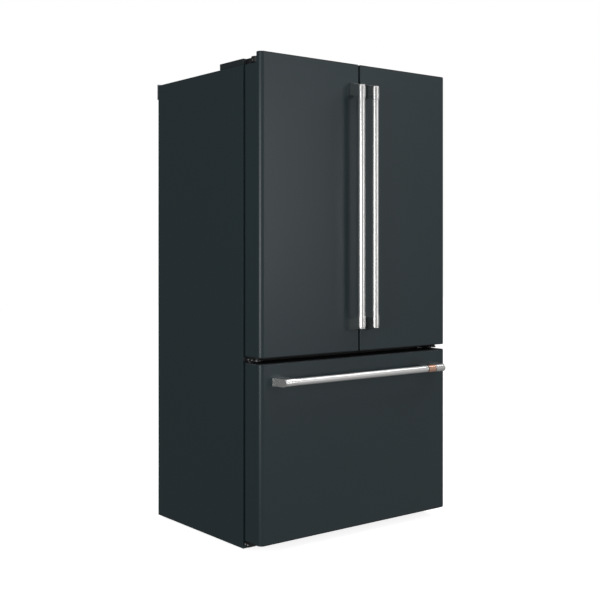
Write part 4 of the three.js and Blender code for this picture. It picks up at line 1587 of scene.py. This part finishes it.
@dataclass
class GlassShelf:
    """A pane of glass in a moulded frame, standing for one shelf node."""

    shop: Workshop
    node: str
    has_partition: bool = False
    frame_mm: float = 14.0
    thick_mm: float = 13.0
    pane_mm: float = 4.0
    partition_past_middle: float = 0.19

    def build(self) -> None:
        """Builds the frame, the pane and the steel front trim."""
        low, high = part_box(self.node)
        top = high.z
        bottom = top - self.thick_mm * MM
        rim = self.frame_mm * MM
        slab = Form().block((low.x, low.y, bottom), (high.x, high.y, top))
        frame = slab.piece(f"{self.node}_frame")
        hole_low = (low.x + rim, low.y + rim, bottom - rim)
        hole_high = (high.x - rim, high.y - rim, top + rim)
        carve(frame, Form().block(hole_low, hole_high).piece("frame_hole"))
        if self.has_partition:
            self._add_partition(frame, low, bottom)
        soften(frame, 2.0 * MM, 3)
        self.shop.fit(frame, "cabinet", self.shop.finishes.white_liner, Slot.WHITE_LINER)
        middle = (bottom + top) / 2
        lap = 0.5 * MM
        pane_low = (low.x + rim - lap, low.y + rim - lap, middle - self.pane_mm / 2 * MM)
        pane_high = (high.x - rim + lap, high.y - rim + lap, middle + self.pane_mm / 2 * MM)
        pane = even_normals(Form().block(pane_low, pane_high, 0.6 * MM).piece(f"{self.node}_pane"))
        self.shop.fit(pane, "cabinet", self.shop.finishes.glass, Slot.SHELF_GLASS, [self.node])
        trim_low = (low.x + 12.0 * MM, low.y - 0.8 * MM, bottom + 2.5 * MM)
        trim_high = (high.x - 12.0 * MM, low.y + 0.6 * MM, top - 2.5 * MM)
        trim = even_normals(Form().block(trim_low, trim_high, 0.6 * MM).piece(f"{self.node}_trim"))
        self.shop.fit(trim, "cabinet", self.shop.finishes.level_steel, Slot.STAINLESS)

    def _add_partition(self, frame: Piece, low: Vector, under: float) -> None:
        """Joins the centre post and the partition between the crispers to the frame.

        Args:
            frame: the frame.
            low: the lowest corner of the node.
            under: the height of the frame's lower face.
        """
        top = under + 4.0 * MM
        post_half, wall_half = 0.030, 0.002
        post_low = (-post_half, low.y + 4.0 * MM, low.z)
        post = Form().block(post_low, (post_half, low.y + 16.0 * MM, top))
        carve(frame, post.piece("centre_post"), "UNION")
        wall_low = (-wall_half, low.y + 10.0 * MM, low.z + 0.030)
        wall = Form().block(wall_low, (wall_half, -low.y + self.partition_past_middle, top))
        carve(frame, wall.piece("partition"), "UNION")


@dataclass
class OpenBox:
    """A clear moulded box such as a bin, crisper or basket, with ribs and a trimmed front edge."""

    shop: Workshop
    node: str
    body: str
    rib_count: int = 0
    trim: bool = True

    def build(self) -> None:
        """Builds the box, the ribs on its floor and the trim on its front edge."""
        finishes = self.shop.finishes
        self.shop.refine(self.node, self.body, finishes.clear_plastic, Slot.CLEAR_PLASTIC, 1.4)
        low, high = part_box(self.node)
        if self.rib_count:
            self._ribs(low, high)
        if self.trim:
            edge_low = (low.x + 0.03, low.y - 0.2 * MM, high.z - 9.0 * MM)
            edge_high = (high.x - 0.03, low.y + 1.4 * MM, high.z - 3.0 * MM)
            edge = even_normals(Form().block(edge_low, edge_high, 0.7 * MM).piece(f"{self.node}_edge_trim"))
            self.shop.fit(edge, self.body, finishes.level_steel, Slot.STAINLESS)

    def _ribs(self, low: Vector, high: Vector) -> None:
        """Low ribs across the floor.

        Args:
            low: the lowest corner of the box.
            high: its highest corner.
        """
        margin, wall = 0.045, 3.0 * MM
        front, back = low.y + margin, high.y - margin
        outline = arc((front, low.z + wall - 0.2 * MM), 1.6 * MM, 0.0, 180.0, 8)
        span = (low.x + margin, high.x - margin)
        rib = Form().prism(outline, span, Axis.X, 0.3 * MM).piece(f"{self.node}_ribs")
        step = (0.0, (back - front) / (self.rib_count - 1), 0.0)
        self.shop.repeater.lay(rib, self.shop.finishes.clear_plastic, self.rib_count, step)
        self.shop.fit(rib, self.body, self.shop.finishes.clear_plastic, Slot.CLEAR_PLASTIC)


@dataclass
class Interior:
    """The liners, shelves, crispers, baskets, lamps, air duct and mullion."""

    shop: Workshop
    duct_half_width: float = 0.11
    slot_count: int = 9
    slot_pitch: float = 0.012
    housing_half: float = 0.19
    panel_half: float = 0.07
    lamp_half: float = 0.16

    def build(self) -> None:
        """Builds the inside of both compartments."""
        finishes = self.shop.finishes
        self.shop.dress("fresh_food_liner", finishes.white_liner)
        self.shop.dress("freezer_liner", finishes.white_liner)
        self.shop.refine("evaporator_cover", "cabinet", finishes.white_liner, Slot.WHITE_LINER, 0.5)
        self.shop.refine("folding_mullion", "mullion", finishes.black_plastic, Slot.BLACK_PLASTIC, 1.5)
        for node in ("upper_shelf", "lower_shelf", "crisper_cover"):
            GlassShelf(self.shop, node, has_partition=node == "crisper_cover").build()
        for side in Side:
            OpenBox(self.shop, f"{side.word}_crisper", f"{side.word}_crisper_drawer", 7).build()
        OpenBox(self.shop, "lower_basket", "freezer_drawer", 8).build()
        OpenBox(self.shop, "upper_basket", "upper_freezer_basket", 7).build()
        self._duct()
        self._lamps()

    def _duct(self) -> None:
        """The raised air duct on the back wall of the fresh food compartment, with its slots."""
        finishes = self.shop.finishes
        shelf_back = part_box("upper_shelf")[1].y
        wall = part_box("evaporator_cover")[1].y + 0.095
        crisper_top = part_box("crisper_cover")[1].z
        half = self.duct_half_width
        low = (-half, shelf_back + 8.0 * MM, crisper_top + 0.03)
        high = (half, wall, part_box("left_door_gasket")[1].z - 0.08)
        duct = even_normals(Form().block(low, high, 5.0 * MM, 4).piece("air_duct"))
        self.shop.fit(duct, "cabinet", finishes.white_liner, Slot.WHITE_LINER)
        slot_low = (-0.55 * half, low[1] - 0.6 * MM, high[2] - 0.10)
        slot_high = (0.55 * half, low[1] + 1.0 * MM, high[2] - 0.094)
        slots = Form().block(slot_low, slot_high, 0.7 * MM).piece("air_duct_slots")
        step, row_step = (0.0, 0.0, -self.slot_pitch), (0.0, 0.0, -0.3)
        black = finishes.black_plastic
        self.shop.repeater.lay(slots, black, self.slot_count, step, 2, row_step)
        self.shop.fit(slots, "cabinet", finishes.black_plastic, Slot.BLACK_PLASTIC)

    def _lamps(self) -> None:
        """The lamp strip and the control housing under the fresh food ceiling."""
        finishes = self.shop.finishes
        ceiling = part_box("left_door_gasket")[1].z - 34.0 * MM
        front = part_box("upper_shelf")[0].y
        black, white, lamp = finishes.black_plastic, finishes.white_liner, finishes.lamp
        clear = 0.3 * MM
        parts = (
            ("control_housing", self.housing_half, (0.010, 0.150), (0.024, clear), (4.0, 4), white),
            ("control_panel", self.panel_half, (0.0095, 0.012), (0.018, 0.006), (0.8, 3), black),
            ("ceiling_lamp", self.lamp_half, (0.190, 0.215), (0.009, clear), (3.0, 4), lamp),
        )
        for name, half, behind_front, below_ceiling, (edge_mm, steps), finish in parts:
            low = (-half, front + behind_front[0], ceiling - below_ceiling[0])
            high = (half, front + behind_front[1], ceiling - below_ceiling[1])
            part = even_normals(Form().block(low, high, edge_mm * MM, steps).piece(name))
            slot = Slot.BLACK_PLASTIC if finish is black else Slot.WHITE_LINER
            self.shop.fit(part, "cabinet", finish, slot)


@dataclass
class CoolingSystem:
    """Compressor, coils and fans."""

    shop: Workshop

    def build(self) -> None:
        """Builds the cooling system."""
        finishes = self.shop.finishes
        self.shop.refine("compressor", "cabinet", finishes.black_paint, Slot.BLACK_PAINT, 1.0)
        rotor, black = "condenser_fan_rotor", finishes.black_plastic
        self.shop.refine("condenser_fan", rotor, black, Slot.BLACK_PLASTIC, 0.5)
        self.shop.refine("evaporator_fan", "evaporator_fan_rotor", finishes.nylon, Slot.NYLON, 0.5)
        self.shop.dress("condenser_coil", finishes.black_paint)
        self.shop.dress("evaporator_coil", finishes.aluminium)


# ---- Stage -----------------------------------------------------------------------------------


@dataclass
class Studio:
    """The floor, lights and camera."""

    camera_place: Point = (-2.5068, -3.2912, 1.0803)
    camera_turn_degrees: float = -39.17
    lens_mm: float = 61.64
    shift: Point2 = (-0.0667, -0.0848)
    floor_half: float = 14.0
    floor_glow: float = 0.85
    bright_direction: Point = (0.20, -0.94, 0.28)
    dim_level: float = 0.30
    middle_level: float = 0.50
    room_strength: float = 0.42

    def build(self) -> None:
        """Builds the stage."""
        self._camera()
        self._floor()
        self._world()
        self._lights()
        bpy.context.scene.view_settings.view_transform = "Standard"

    def _camera(self) -> None:
        """A level camera that sees the left side and the front."""
        data = bpy.data.cameras.new("camera")
        data.lens = self.lens_mm
        data.sensor_width = 36.0
        data.shift_x, data.shift_y = self.shift
        camera = bpy.data.objects.new("camera", data)
        camera.location = self.camera_place
        camera.rotation_euler = (math.radians(90.0), 0.0, math.radians(self.camera_turn_degrees))
        bpy.context.scene.collection.objects.link(camera)
        bpy.context.scene.camera = camera

    def _floor(self) -> None:
        """A plain pale floor, lifted to the white of the room by a faint glow of its own."""
        half = self.floor_half
        floor = Form().block((-half, -half, -0.02), (half, half, -0.0002)).piece("studio_floor")
        glow = {"Specular IOR Level": 0.1, "Emission Color": WHITE, "Emission Strength": self.floor_glow}
        shader = Shader("studio_floor", glow)
        drift = shader.noise(0.8, 2.0)
        colour = shader.blend((0.90, 0.90, 0.90), (0.93, 0.93, 0.93), drift)
        floor.data.materials.append(shader.finish(colour, 0.85 + drift * 0.05, drift, 0.01))
        floor.visible_glossy = False
        floor.visible_diffuse = False

    def _world(self) -> None:
        """A room that looks white and gives most of its light from the front right."""
        world = bpy.data.worlds.new("studio")
        world.use_nodes = True
        world.node_tree.nodes.clear()
        graph = Graph(world.node_tree)
        direction = graph.node("ShaderNodeTexCoord", output="Generated")
        toward = graph.node(
            "ShaderNodeVectorMath",
            {"operation": "DOT_PRODUCT"},
            {0: direction, 1: self.bright_direction},
            "Value",
        )
        stops = [(0.0, self.dim_level), (0.45, self.middle_level), (1.0, 1.0)]
        level = graph.node("ShaderNodeValToRGB", {"stops": stops}, {"Fac": toward * 0.5 + 0.5})
        fill = graph.node("ShaderNodeBackground", inputs={"Color": level, "Strength": self.room_strength})
        seen = graph.node("ShaderNodeBackground", inputs={"Color": WHITE, "Strength": 1.0})
        to_camera = graph.node("ShaderNodeLightPath", output="Is Camera Ray")
        mix = graph.node("ShaderNodeMixShader", inputs={0: to_camera, 1: fill, 2: seen})
        graph.node("ShaderNodeOutputWorld", inputs={"Surface": mix}, output=None)
        bpy.context.scene.world = world

    def _lights(self) -> None:
        """Large soft lights on both sides of the camera and above."""
        self._area("front_right_panel", (1.9, -4.4, 1.5), (-0.25, -0.3, 1.25), (1.0, 2.2), 17.0)
        self._area("front_left_panel", (-4.2, -1.7, 1.1), (-0.4, -0.1, 0.95), (2.0, 2.0), 66.0)
        self._area("high_right_panel", (2.2, -1.4, 3.5), (0.0, -0.35, 0.7), (1.2, 1.2), 24.0)
        self._area("top_panel", (0.0, -0.8, 4.6), (0.0, 0.0, 0.8), (3.6, 3.6), 64.0)

    def _area(self, name: str, place: Point, target: Point, size: Point2, watts: float) -> None:
        """One rectangular soft light.

        Args:
            name: its name.
            place: where it hangs.
            target: what it faces.
            size: its width and height.
            watts: its power.
        """
        data = bpy.data.lights.new(name, "AREA")
        data.shape = "RECTANGLE"
        data.size, data.size_y = size
        data.energy = watts
        light = bpy.data.objects.new(name, data)
        light.location = place
        light.rotation_euler = (Vector(target) - Vector(place)).to_track_quat("-Z", "Y").to_euler()
        bpy.context.scene.collection.objects.link(light)


def main() -> None:
    """Builds the stage, then every sub-assembly in order."""
    logging.basicConfig(level=logging.INFO, format="%(name)s: %(message)s")
    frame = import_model()
    Studio().build()
    shop = Workshop(frame["nodes"], Finishes(), Repeater())
    Cabinet(shop).build()
    DoorHinges(shop).build()
    for side in Side:
        FrenchDoor(shop, side).build()
    FreezerDrawer(shop).build()
    Interior(shop).build()
    CoolingSystem(shop).build()


if __name__ == "__main__":
    main()
